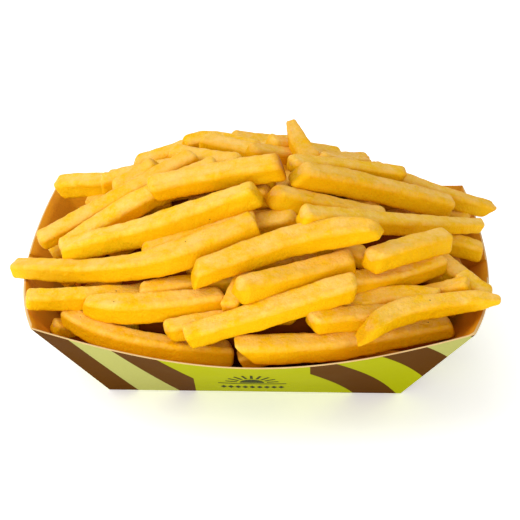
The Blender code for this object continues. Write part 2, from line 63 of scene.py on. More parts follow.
# How far the load pushes the middle of each wall's rim out
FRONT_BULGE = 0.012
BACK_BULGE = 0.005
END_BULGE = 0.0085
# The corner webs are glued flat inside the end walls. Their cut edges slant from near the
# middle of the rim down towards the corners of the base.
WEB_EDGE_AT_RIM = 0.12
WEB_EDGE_AT_BASE = 0.70
WEB_STEP = 0.012
LONG_WALL_COLUMNS = 12
WEB_COLUMNS = 3

# Heap: the middle lines of its topmost fries lie about on this dome
HEAP_PEAK = 0.086
HEAP_EDGE = 0.0405
HEAP_LEAN = 0.075
HEAP_HALF_LENGTH = 0.096
HEAP_HALF_WIDTH = 0.075
HEAP_BACK = 0.006
# The bare core under the fries that show
CORE_DEPTH = 0.0125
CORE_CLEARANCE = 0.0012
CORE_EDGE = 0.66
CORE_FOOT = 0.02
CORE_RINGS = (0.84, 0.64, 0.42, 0.20)
CORE_COLUMNS = 7

# Fries
FRY_SIDE = 0.009
CUT_CORNER = 0.15
SINK = 0.05
TRAY_GAP = 0.0005
STEEPEST = 0.42
# Half of a fry's diagonal between its cut corners, per side
CORNER_REACH = math.hypot(0.5, 0.5 - CUT_CORNER)
# A fry is felt for what lies below it at points along it and across this share of its width
POINTS_ACROSS = 9
WIDTH_FELT = 0.96
# Fries that show are pushed apart until their middle lines are this share of a side apart
TOUCHING = 0.94
# and less at their ends, which are flat
END_PUSH = 0.75
BASE_OF_SEARCH = 0.028
LYING_STEP = 0.0001
PUSH_ROUNDS = 200
LAST_ROUNDS = 50
PUSH_SHARE = 0.35
DOME_PULL = 0.02
POINTS_ALONG = 21
POINTS_BELOW = 81
LEAST_TOWARDS_EYE = 0.35
WALL_SEARCH = 0.030
LAST_MOVES = 30
# After the others are laid, a shown fry sinks onto them by at most this
MOST_SINKING = 0.006
SINKING_ROUNDS = 8
SINKING_SHARE = 0.6
# Fries that don't show lie on a bed in the tray and fill the heap up to a ceiling
SEED = 11
BED_DEPTH = 0.030
HIDDEN_TRIES = 3600
LONG_HIDDEN = (0.045, 0.078)
SHORT_HIDDEN = (0.026, 0.050)
CEILING_OVERLAP = 0.0015
FRONT_CEILING = 0.001
BACK_CEILING = 0.004
BACK_BEGINS = 0.022
BACK_BLEND = 0.020
HIDDEN_SPREAD = 0.010
HEADING_SPREAD = 0.45
HIDDEN_SIDES = (0.85, 1.06)
HIDDEN_TAPER = 0.94
HIDDEN_POINTS = 33

# The photograph's view, in pixels of its 520 x 520 frame and metres
FRAME_MIDDLE = 260.0
FOCAL = 2732.0
VIEW_DISTANCE = 1.163
VIEW_ELEVATION = math.radians(29.1)
VIEW_AZIMUTH = math.radians(1.45)
VIEW_TARGET = np.array([0.0013, 0.0, 0.0441])

# Each fry that shows: pixels on its middle line, with the fry's side there in millimetres.
# They are in the order in which they lie on each other.
SHOWN = (
    ((60, 187, 8.2), (135, 185, 8.2)),
    ((102, 185, 7.6), (170, 169, 7.8)),
    ((114, 192, 7.8), (157, 164, 7.0)),
    ((39, 242, 6.8), (112, 200, 7.4), (160, 174, 7.4), (196, 156, 7.0)),
    ((61, 252, 7.6), (122, 214, 8.2), (172, 188, 8.2), (218, 166, 7.6)),
    ((184, 145, 6.4), (203, 142, 7.8), (262, 154, 8.0)),
    ((202, 142, 7.6), (262, 157, 8.2)),
    ((250, 152, 6.6), (367, 160, 5.4)),
    ((291, 124, 3.4), (297, 136, 6.6), (303, 148, 8.4), (315, 168, 9.0)),
    ((320, 159, 5.8), (368, 163, 5.0)),
    ((366, 171, 8.2), (489, 210, 6.4)),
    ((290, 166, 7.6), (404, 176, 6.2)),
    ((296, 174, 9.2), (450, 208, 9.0)),
    ((270, 196, 8.8), (385, 220, 8.4)),
    ((398, 234, 8.4), (482, 252, 7.2)),
    ((412, 240, 8.6), (478, 292, 7.6)),
    ((458, 277, 8.0), (491, 297, 7.2)),
    ((300, 218, 9.2), (395, 226, 7.4), (482, 226, 4.8)),
    ((204, 238, 8.4), (297, 218, 8.0)),
    ((150, 190, 8.8), (283, 167, 9.2)),
    ((63, 252, 7.6), (90, 244, 9.0), (150, 229, 9.8), (205, 210, 9.8), (258, 193, 9.4)),
    ((142, 256, 8.0), (256, 220, 8.2)),
    (
        (15, 268, 7.0), (80, 273, 7.8), (138, 268, 8.4),
        (163, 261, 10.0), (190, 253, 10.4), (256, 225, 10.0),
    ),
    ((345, 284, 8.8), (443, 261, 8.0)),
    ((370, 262, 9.0), (448, 240, 8.8)),
    ((384, 305, 8.0), (470, 286, 7.4)),
    ((26, 300, 7.0), (152, 295, 8.0)),
    ((140, 294, 8.0), (290, 279, 8.0)),
    ((53, 327, 6.2), (78, 331, 6.4)),
    ((65, 315, 7.2), (90, 331, 8.2), (130, 343, 8.8), (180, 350, 9.0), (232, 354, 8.6)),
    ((84, 304, 6.6), (103, 308, 9.2), (133, 308, 10.4), (192, 303, 8.8), (226, 298, 8.6)),
    ((166, 332, 7.6), (262, 318, 8.0)),
    ((340, 311, 7.6), (392, 300, 8.4), (438, 300, 8.0)),
    ((310, 322, 8.2), (398, 316, 8.0)),
    ((186, 338, 8.0), (268, 317, 9.2), (356, 286, 9.4)),
    ((229, 309, 7.0), (248, 264, 7.0)),
    ((238, 291, 9.2), (354, 261, 9.2)),
    ((194, 275, 8.6), (250, 257, 9.8), (300, 241, 9.9), (352, 231, 9.8), (379, 230, 6.4)),
    ((242, 350, 8.6), (262, 350, 9.8), (330, 347, 9.4), (452, 326, 7.2)),
    (
        (364, 331, 7.4), (391, 315, 8.4), (416, 309, 8.4),
        (449, 305, 7.4), (476, 300, 7.0), (501, 300, 2.6),
    ),
)

# The tray seen close: finer steps along its walls, and the sharp edge of the glued webs
FINE = 6
FINE_WEB_STEP = 0.0010

# The print runs over the flat blank. Its stripes repeat along the rim and lean as they go
# down the wall. The first of them begins near the front rim's left corner.
STRIPE_WIDTHS = {"cream": 0.0172, "brown": 0.0185, "lime": 0.0179}
STRIPE_ORDER = ("cream", "brown", "lime", "brown", "lime", "brown", "lime", "brown")
STRIPE_START = -0.0746
STRIPE_LEAN = 0.457
PANEL_MIDDLE = -0.0007
PANEL_WIDTH = 0.0482
# The end walls' stripes start elsewhere on the blank, which keeps the panel off them
END_WALL_SHIFT = 0.145
# One unit of the texture coordinates is this much board
BLANK_UNIT = 0.1

# Emblem in the panel, measured down from the rim and out from the panel's middle
SUN_BASE = 0.0350
SUN_HALF_WIDTH = 0.0112
SUN_HEIGHT = 0.0178
SUN_HUB = 0.46
SUN_RAYS = 9
RAY_SHARE = 0.56
# As shares of the sun: the gap between its hub and its rays, and where the hub's wedges meet
RAY_GAP = 0.10
HUB_TIP = 0.02
RULE_HALF = 0.0142
RULE_WIDTH = 0.0015
RULE_STEPS = 14
LOZENGES = 9
LOZENGE_STEP = 0.0030
LOZENGE_SIZE = (0.0013, 0.0031)
LOZENGE_ROW = 0.0440
INK_PROUD = 0.00006

# Fries seen close. Their long corners are rounded by this share of half a side, in these steps,
# and their faces have these between the corners.
CORNER_ROUND = 0.45
CORNER_STEPS = 6
FLAT_STEPS = 5
# Frying draws the middle of each face in a little
FACE_HOLLOW = 0.025
# Their rounded corners make them look thinner than the solids' crisp ones
SWELL = 1.07
# Waves of a fry's thickness along it: their length, and their height as a share
SECTION_WAVE = (0.020, 0.035)
RING_STEP = 0.0010
LEAST_RINGS = 12
# The least and the most radius at the edges of its ends, and that as a share of its side
END_ROUND = (0.0014, 0.0033)
MOST_END_ROUND = 0.4
END_RINGS = 6
# Rings on the end face, as shares of its size, and the most by which it is hollow or raised
END_FACE_RINGS = (0.30, 0.62, 0.86)
END_DISH = 0.0004
# Times that the bends of its line are smoothed, and its own slight bow
CORNER_ROUNDING = 50
MOST_BOW = 0.0013
# Degrees by which the fries' upper faces lean towards the front, and by which they differ
LEAN_TO_FRONT = 9.0
MOST_ROLL = 8.0
MOST_TWIST = 7.0
# Degrees by which an end may be cut aslant, and how far along the fry that is felt
MOST_SLANT = 16.0
SLANT_FADES = 0.010
# Relief of the crust: the length and the height of its waves
DENT = (0.0085, 0.00040)
RIPPLE = (0.0034, 0.00017)
GRAIN = (0.0015, 0.00010)
# Ripples have this share of their height everywhere, and this much more at the long edges
RIPPLE_SHARES = (0.4, 1.2)
# Each kind of relief, and each fry, reads the noise at another place
NOISE_SHIFTS = {"dent": 0, "section": 20, "grain": 50, "ripple": 90}
NOISE_STEP = (0.37, 0.11, 0.23)
# Blisters of a fry: the least number and the number that it stays below
BLISTERS = (3, 9)
BLISTER_SIZE = (0.0011, 0.0024)
BLISTER_HEIGHT = (0.00012, 0.00034)
BROWNING_FADES = 0.0028
# Fries half sunk in the fill hide it where nothing else lies over it. Each takes the first of
# these lengths at which this share of it is uncovered.
DEEP_SEED = 3
DEEP_TRIES = 1000
DEEP_SINK = 0.0012
DEEP_COVER = 0.0015
DEEP_LENGTHS = (0.050, 0.040, 0.032, 0.024, 0.017)
DEEP_BARE_SHARE = 0.7
DEEP_POINTS = 11
# What the fries' relief pushes through a wall by about this much is drawn back into the tray,
# to this far in from the wall's outer face, where the board is single or double. Above the rim
# that fades out over this share of the wall's height.
WALL_PIERCED = 0.0030
WALL_ROOM = {1: 0.0009, 2: 0.0017}
RIM_FADE = 0.02
WALL_ROUNDS = 3
# Painted shade: fries are coloured deeper from one depth under the heap's dome to another, as the
# shade between them. Those that show stay bright for longer.
SHADED_DEPTHS = {"shown": (0.016, 0.034), "hidden": (0.006, 0.018)}
LOOKS_SEED = 5
DEEP_LOOKS_SEED = 305
# Some fries are deeper in colour all over, by at most this before its power is taken
MOST_TONE = 0.30
TONE_POWER = 1.5

# Shown fries whose ends are plainly cut aslant, by their place in SHOWN: how much further along
# the fry the top of each end lies, per height
CUT_ASLANT = {
    8: (-0.7, 0.0), 10: (0.0, 0.8), 12: (0.5, 0.0), 13: (0.3, 0.0), 22: (0.1, 0.0),
    37: (0.45, -0.5), 38: (-1.0, -0.3), 39: (1.3, 0.0),
}
# How much further along the far side of an end lies, per width, where it isn't left to chance
CUT_SIDEWAYS = {22: (0.0, 0.0), 39: (0.9, 0.0)}
# How burnt the photograph shows a fry's ends to be, by its place in SHOWN
BURNT_ENDS = {10: (0.0, 0.5), 11: (0.0, 0.6), 13: (0.5, 0.0), 19: (0.0, 0.82), 39: (0.42, 0.0)}
PLAIN_BURN = 0.22

# Board that folds by more than this many degrees keeps a sharp crease
CREASE = 22

FLOOR_REACH = 4.0
FLOOR_DROP = 0.0002
FLOOR_GLOW = 0.40
ROOM_LIGHT = 0.62
# Softboxes: where each stands, how wide it is, its watts and where it is aimed
SOFTBOXES = {
    "key": ((-0.42, -0.14, 0.40), 0.34, 1.35, (0, 0, 0.04)),
    "back_sheen": ((-0.15, 1.15, 0.85), 0.6, 4.0, (0, 0, 0.04)),
    "front_fill": ((-0.10, -1.20, 0.36), 0.9, 7.0, (0, 0, 0.02)),
}
SENSOR_WIDTH = 36.0
NEAREST_SEEN = 0.05

# Colours as they look in print
BOARD_BROWN = "#593300"
BOARD_CREAM = "#b0af60"
BOARD_LIME = "#a8aa00"
KRAFT = "#e09410"
KRAFT_FIBRE = "#c47a0c"
KRAFT_GREASE = "#c4720c"
CUT_BOARD = "#e2cc98"
EMBLEM_INK = "#1c1f00"
# Painted sheen: a paler colour laid on the fries' upper faces, where the light falls
POTATO_PAINTED_SHEEN = "#fccc66"
POTATO_GOLD = "#f6c008"
POTATO_DEEP = "#f3bc00"
POTATO_TOASTED = "#eeab00"
POTATO_BROWNED = "#bc6400"
POTATO_BURNT = "#4a1e06"
# The deeper tone of some fries, and the painted shade deep under the heap's dome
POTATO_TONE_AND_SHADE = "#d27c00"
POTATO_SHADE = "#7a3400"
FLOOR_WHITE = "#fdfdfd"


def linear(colour):
    """The linear values of a colour written as it looks on a screen."""
    values = [int(colour[i : i + 2], 16) / 255 for i in (1, 3, 5)]
    return (*[v / 12.92 if v <= 0.04045 else ((v + 0.055) / 1.055) ** 2.4 for v in values], 1)


RIM_BULGES = {"front": FRONT_BULGE, "back": BACK_BULGE, "left": END_BULGE, "right": END_BULGE}
# Unit vectors along each wall, walked counter-clockwise from above, and out of the tray
WALLS = {
    "front": ((1, 0), (0, -1)),
    "right": ((0, 1), (1, 0)),
    "back": ((-1, 0), (0, 1)),
    "left": ((0, -1), (-1, 0)),
}


def wall_point(side, across, up):
    """A point of a wall's outer face: across runs from -1 to 1 and up from 0 to 1.

    The board keeps its length, so where its rim is pushed out it also sinks.
    """
    along, out = (np.array(v, float) for v in WALLS[side])
    long_wall = side in ("front", "back")
    base_half, rim_half = (BASE_LENGTH, RIM_LENGTH) if long_wall else (BASE_WIDTH, RIM_WIDTH)
    base_out, rim_out = (BASE_WIDTH, RIM_WIDTH) if long_wall else (BASE_LENGTH, RIM_LENGTH)
    run = (rim_out - base_out) / 2
    board_length = math.hypot(run, TRAY_HEIGHT)
    reach = run + RIM_BULGES[side] * (1 - across**2)
    height = math.sqrt(board_length**2 - reach**2)
    half = (base_half + (rim_half - base_half) * up) / 2
    place = along * across * half + out * (base_out / 2 + up * reach)
    return (place[0], place[1], up * height)


def wall_half(side, up):
    """Half of a wall's width at one level."""
    long_wall = side in ("front", "back")
    base, rim = (BASE_LENGTH, RIM_LENGTH) if long_wall else (BASE_WIDTH, RIM_WIDTH)
    return (base + (rim - base) * up) / 2


def board_drop(side):
    """The length of a wall's board from the rim down to the base."""
    long_wall = side in ("front", "back")
    base, rim = (BASE_WIDTH, RIM_WIDTH) if long_wall else (BASE_LENGTH, RIM_LENGTH)
    return math.hypot((rim - base) / 2, TRAY_HEIGHT)


def wall_columns(side, up, fine, web_step):
    """Where a wall's columns stand, with whether the glued web doubles the board there."""
    if side in ("front", "back"):
        return [(t, 1) for t in np.linspace(-1, 1, LONG_WALL_COLUMNS * fine + 1)[:-1]]
    edge = WEB_EDGE_AT_BASE + (WEB_EDGE_AT_RIM - WEB_EDGE_AT_BASE) * up
    count = WEB_COLUMNS * fine + 1
    web = [(t, 2) for t in np.linspace(-1, -edge, count)]
    free = [(t, 1) for t in np.linspace(-edge + web_step, edge - web_step, count)]
    other = [(t, 2) for t in np.linspace(edge, 1, count)[:-1]]
    return web + free + other


def tray_ring(mesh, up, fine, web_step):
    """The vertices round the tray at one level, with each one's layers, wall and place on it."""
    ring = []
    for side in WALLS:
        for across, layers in wall_columns(side, up, fine, web_step):
            ring.append((mesh.verts.new(wall_point(side, across, up)), layers, side, across))
    return ring


def bridge(mesh, lower, upper):
    """Quads between two closed loops of equal length that run the same way."""
    for i in range(len(lower)):
        j = (i + 1) % len(lower)
        mesh.faces.new((lower[i], lower[j], upper[j], upper[i]))


def tray_shell(fine, web_step):
    """The tray's board as a closed shell: its outer rings, its inner rings and its mesh."""
    mesh = bmesh.new()
    levels = np.linspace(0, 1, 2 * fine + 1)
    outer = [tray_ring(mesh, up, fine, web_step) for up in levels]
    for lower, upper in zip(outer, outer[1:]):
        bridge(mesh, [v[0] for v in lower], [v[0] for v in upper])
    mesh.faces.new([v[0] for v in reversed(outer[0])])
    mesh.normal_update()
    inner = []
    for ring in outer:
        level = []
        for vertex, layers, _, _ in ring:
            inward = vertex.normal * vertex.calc_shell_factor()
            level.append((vertex.co - inward * BOARD * layers).to_tuple())
        inner.append([mesh.verts.new(place) for place in level])
    for lower, upper in zip(inner, inner[1:]):
        bridge(mesh, list(reversed(lower)), list(reversed(upper)))
    for vertex in inner[0]:
        vertex.co.z = BOARD
    mesh.faces.new(inner[0])
    bridge(mesh, [v[0] for v in outer[-1]], inner[-1])
    return mesh, outer, inner, levels


def felt_tray():
    """The tray as the fries feel it, with the part's own few faces."""
    mesh = tray_shell(1, WEB_STEP)[0]
    bmesh.ops.triangulate(mesh, faces=mesh.faces)
    bmesh.ops.recalc_face_normals(mesh, faces=mesh.faces)
    data = bpy.data.meshes.new("felt_tray")
    mesh.to_mesh(data)
    mesh.free()
    return bpy.data.objects.new("felt_tray", data)


# Height maps: the top of the tray and of the food so far, on a grid seen from above
CELL = 0.001
MAP_X = np.arange(-0.120, 0.1201, CELL)
MAP_Y = np.arange(-0.095, 0.0951, CELL)
NOTHING = -1.0


def empty_map():
    """A height map with nothing in it."""
    return np.full((len(MAP_X), len(MAP_Y)), NOTHING)


def map_faces(heights, data):
    """Raise a height map to the triangles of a mesh."""
    data.calc_loop_triangles()
    places = np.array([v.co for v in data.vertices])
    for triangle in data.loop_triangles:
        a, b, c = places[list(triangle.vertices)]
        det = (b[1] - c[1]) * (a[0] - c[0]) + (c[0] - b[0]) * (a[1] - c[1])
        if abs(det) < 1e-12:
            continue
        low, high = np.minimum(np.minimum(a, b), c), np.maximum(np.maximum(a, b), c)
        i = slice(*np.searchsorted(MAP_X, (low[0], high[0])))
        j = slice(*np.searchsorted(MAP_Y, (low[1], high[1])))
        x, y = np.meshgrid(MAP_X[i], MAP_Y[j], indexing="ij")
        p = ((b[1] - c[1]) * (x - c[0]) + (c[0] - b[0]) * (y - c[1])) / det
        q = ((c[1] - a[1]) * (x - c[0]) + (a[0] - c[0]) * (y - c[1])) / det
        height = p * a[2] + q * b[2] + (1 - p - q) * c[2]
        inside = (p >= 0) & (q >= 0) & (p + q <= 1)
        heights[i, j] = np.where(inside, np.maximum(heights[i, j], height), heights[i, j])


def read_map(heights, x, y):
    """Heights at places between the grid's points."""
    u = np.clip((x - MAP_X[0]) / CELL, 0, len(MAP_X) - 1.001)
    v = np.clip((y - MAP_Y[0]) / CELL, 0, len(MAP_Y) - 1.001)
    i, j = u.astype(int), v.astype(int)
    fu, fv = u - i, v - j
    corners = (heights[i, j], heights[i + 1, j], heights[i, j + 1], heights[i + 1, j + 1])
    mixed = (
        corners[0] * (1 - fu) * (1 - fv)
        + corners[1] * fu * (1 - fv)
        + corners[2] * (1 - fu) * fv
        + corners[3] * fu * fv
    )
    nearest = np.max(corners, axis=0)
    return np.where(np.min(corners, axis=0) == NOTHING, nearest, mixed)


def heap_top(x, y):
    """The height of the dome on which the topmost fries lie, lower in front than behind."""
    spread = (x / HEAP_HALF_LENGTH) ** 2 + ((y - HEAP_BACK) / HEAP_HALF_WIDTH) ** 2
    return HEAP_EDGE + HEAP_LEAN * y + (HEAP_PEAK - HEAP_EDGE) * (1 - spread)


def core_mesh():
    """The part of the heap that no one sees: it fills the tray and rises in a low dome."""
    mesh = bmesh.new()
    rings = []
    steps = [2 * k / CORE_COLUMNS - 1 for k in range(CORE_COLUMNS)]
    square = [(t, -1) for t in steps] + [(1, t) for t in steps]
    square += [(-t, 1) for t in steps] + [(-1, -t) for t in steps]

    def inner_place(place, up):
        """A point of the tray's inside outline at one level, a little in from the board."""
        half_x = (BASE_LENGTH + (RIM_LENGTH - BASE_LENGTH) * up) / 2
        half_y = (BASE_WIDTH + (RIM_WIDTH - BASE_WIDTH) * up) / 2
        slant = 2 * BOARD + 2 * CORE_CLEARANCE
        return (place[0] * (half_x - slant), place[1] * (half_y - slant))

    for up in (CORE_FOOT, CORE_EDGE):
        level = []
        for corner in square:
            x, y = inner_place(corner, up)
            level.append(mesh.verts.new((x, y, BOARD + CORE_CLEARANCE + up * TRAY_HEIGHT)))
        rings.append(level)
    edge_height = BOARD + CORE_CLEARANCE + CORE_EDGE * TRAY_HEIGHT
    for radius in CORE_RINGS:
        level = []
        for corner in square:
            x, y = (radius * v for v in inner_place(corner, CORE_EDGE))
            level.append(mesh.verts.new((x, y, max(heap_top(x, y) - CORE_DEPTH, edge_height))))
        rings.append(level)
    for lower, upper in zip(rings, rings[1:]):
        bridge(mesh, lower, upper)
    mesh.faces.new(rings[-1])
    mesh.faces.new(list(reversed(rings[0])))
    bmesh.ops.triangulate(mesh, faces=mesh.faces)
    return mesh


# The photograph's view
VIEW_BACK = np.array([
    math.sin(VIEW_AZIMUTH) * math.cos(VIEW_ELEVATION),
    -math.cos(VIEW_AZIMUTH) * math.cos(VIEW_ELEVATION),
    math.sin(VIEW_ELEVATION),
])
VIEW_RIGHT = np.array([math.cos(VIEW_AZIMUTH), math.sin(VIEW_AZIMUTH), 0.0])
VIEW_UP = np.cross(VIEW_BACK, VIEW_RIGHT)


def on_sight_lines(pixels, heights):
    """The place at each height that shows at each pixel."""
    eye = VIEW_TARGET + VIEW_BACK * VIEW_DISTANCE
    across = (pixels[:, :1] - FRAME_MIDDLE) / FOCAL
    down = (pixels[:, 1:] - FRAME_MIDDLE) / FOCAL
    rays = -VIEW_BACK + across * VIEW_RIGHT - down * VIEW_UP
    reach = (heights - eye[2]) / rays[:, 2]
    return eye + rays * reach[:, None]


def meet_dome(pixels):
    """The heights at which the sight lines of pixels first meet the dome of the heap."""
    reached = np.full(len(pixels), HEAP_EDGE)
    nearest = np.full(len(pixels), -1.0)
    for height in np.arange(HEAP_PEAK, BASE_OF_SEARCH, -CELL / 2):
        place = on_sight_lines(pixels, np.full(len(pixels), height))
        depth = heap_top(place[:, 0], place[:, 1]) - height
        closer = (depth > nearest) & (nearest < 0)
        reached = np.where(closer, height, reached)
        nearest = np.where(closer, depth, nearest)
    return reached


class ShownFry:
    """A fry that the photograph shows: its pixels are fixed, the heights of its ends aren't."""

    def __init__(self, row, order):
        pixels = np.array(row, float)[:, :2]
        steps = np.linalg.norm(np.diff(pixels, axis=0), axis=1)
        reached = np.concatenate(([0], np.cumsum(steps))) / steps.sum()
        self.share = np.linspace(0, 1, POINTS_ALONG)
        self.pixels = np.column_stack([np.interp(self.share, reached, c) for c in pixels.T])
        self.corner_shares = reached
        self.sides = np.array([point[2] for point in row]) * MILLIMETRE
        dome = meet_dome(self.pixels)
        self.dome = np.polyval(np.polyfit(self.share, dome, 1), np.array([0, 1]))
        self.ends = self.dome + order
        self.radii = np.interp(self.share, reached, self.sides) / 2
        blunt = np.ones(POINTS_ALONG)
        blunt[[0, -1]] = END_PUSH
        self.pushed = self.radii * blunt * TOUCHING

    def line(self):
        """Points along the fry's middle line."""
        heights = self.ends[0] + (self.ends[1] - self.ends[0]) * self.share
        return on_sight_lines(self.pixels, heights)

    def push(self, where, rise):
        """Raise or lower the fry by the given height at one share of its length."""
        weight = (1 - where) ** 2 + where**2
        self.ends = self.ends + rise * np.array([1 - where, where]) / weight

    def limit_tilt(self, line):
        """Turn a fry that stands too steeply about its middle, down to the steepest."""
        span = np.linalg.norm(line[-1, :2] - line[0, :2])
        rise = self.ends[1] - self.ends[0]
        most = STEEPEST * span
        if abs(rise) > most:
            middle = self.ends.mean()
            self.ends = middle + np.array([-0.5, 0.5]) * math.copysign(most, rise)

    def path(self):
        """The few points that the fry is built on."""
        line = self.line()
        return np.column_stack([np.interp(self.corner_shares, self.share, c) for c in line.T])


def rise_wanted(heights, line, radii):
    """How far each point of a fry must rise to be clear of what lies below it."""
    share = np.linspace(0, 1, POINTS_BELOW)
    known = np.linspace(0, 1, len(line))
    x, y, z, reach = (np.interp(share, known, c)[:, None] for c in (*line.T, radii))
    ahead = line[-1, :2] - line[0, :2]
    ahead = ahead / np.linalg.norm(ahead)
    off = np.linspace(-WIDTH_FELT, WIDTH_FELT, POINTS_ACROSS)[None, :] * reach
    under = read_map(heights, x - off * ahead[1], y + off * ahead[0])
    wanted = np.where(under < z, under + np.sqrt(reach**2 - off**2) - z, NOTHING)
    return share, np.max(wanted, axis=1)


def caught_in_tray(fry, tray):
    """How far a fry is inside the tray's board, and at which share of its length.

    The flat ends of a tilted fry reach a little past its middle line.
    """
    line = fry.line()
    ahead = line[-1] - line[0]
    ahead = ahead / np.linalg.norm(ahead)
    line[0] -= ahead * abs(ahead[2]) * fry.radii[0]
    line[-1] += ahead * abs(ahead[2]) * fry.radii[-1]
    reach = fry.radii * 2 * CORNER_REACH + TRAY_GAP
    share, wanted = rise_wanted(tray, line + [0, 0, WALL_SEARCH], reach)
    worst = int(np.argmax(wanted))
    return wanted[worst] + WALL_SEARCH, share[worst]


def free_from_tray(fry, tray):
    """Move a fry off the board along its sight lines, whichever way helps more.

    Raising it frees it from the end walls and the back, lowering it from the front wall.
    """
    caught, worst = caught_in_tray(fry, tray)
    if caught <= 0:
        return True
    before = fry.ends
    choices = []
    for rise in (caught + TRAY_GAP / 5, -caught - TRAY_GAP / 5):
        fry.ends = before
        fry.push(worst, rise / 2)
        choices.append((caught_in_tray(fry, tray)[0], fry.ends))
    fry.ends = min(choices, key=lambda choice: choice[0])[1]
    return False


def push_apart(fries, tray, rounds, pull):
    """Move the shown fries along their sight lines until each lies on those before it."""
    for _ in range(rounds):
        lines = [fry.line() for fry in fries]
        lows = np.array([line.min(axis=0) - FRY_SIDE for line in lines])
        highs = np.array([line.max(axis=0) + FRY_SIDE for line in lines])
        for fry in fries:
            fry.ends = fry.ends + pull * (fry.dome - fry.ends)
        for j in range(len(fries)):
            near = np.all((lows[:j] < highs[j]) & (highs[:j] > lows[j]), axis=1)
            for i in np.flatnonzero(near):
                apart = lines[j][None, :, :] - lines[i][:, None, :]
                distance = np.linalg.norm(apart, axis=2)
                wanted = fries[i].pushed[:, None] + fries[j].pushed[None, :]
                deep = wanted - distance
                a, b = np.unravel_index(np.argmax(deep), deep.shape)
                if deep[a, b] <= 0:
                    continue
                towards = apart[a, b] @ VIEW_BACK / distance[a, b]
                move = PUSH_SHARE * deep[a, b] / max(towards, LEAST_TOWARDS_EYE) * VIEW_BACK[2]
                fries[i].push(fries[i].share[a], -move)
                fries[j].push(fries[j].share[b], move)
        for fry in fries:
            fry.limit_tilt(fry.line())
            free_from_tray(fry, tray)
    for fry in fries:
        for _ in range(LAST_MOVES):
            if free_from_tray(fry, tray):
                break


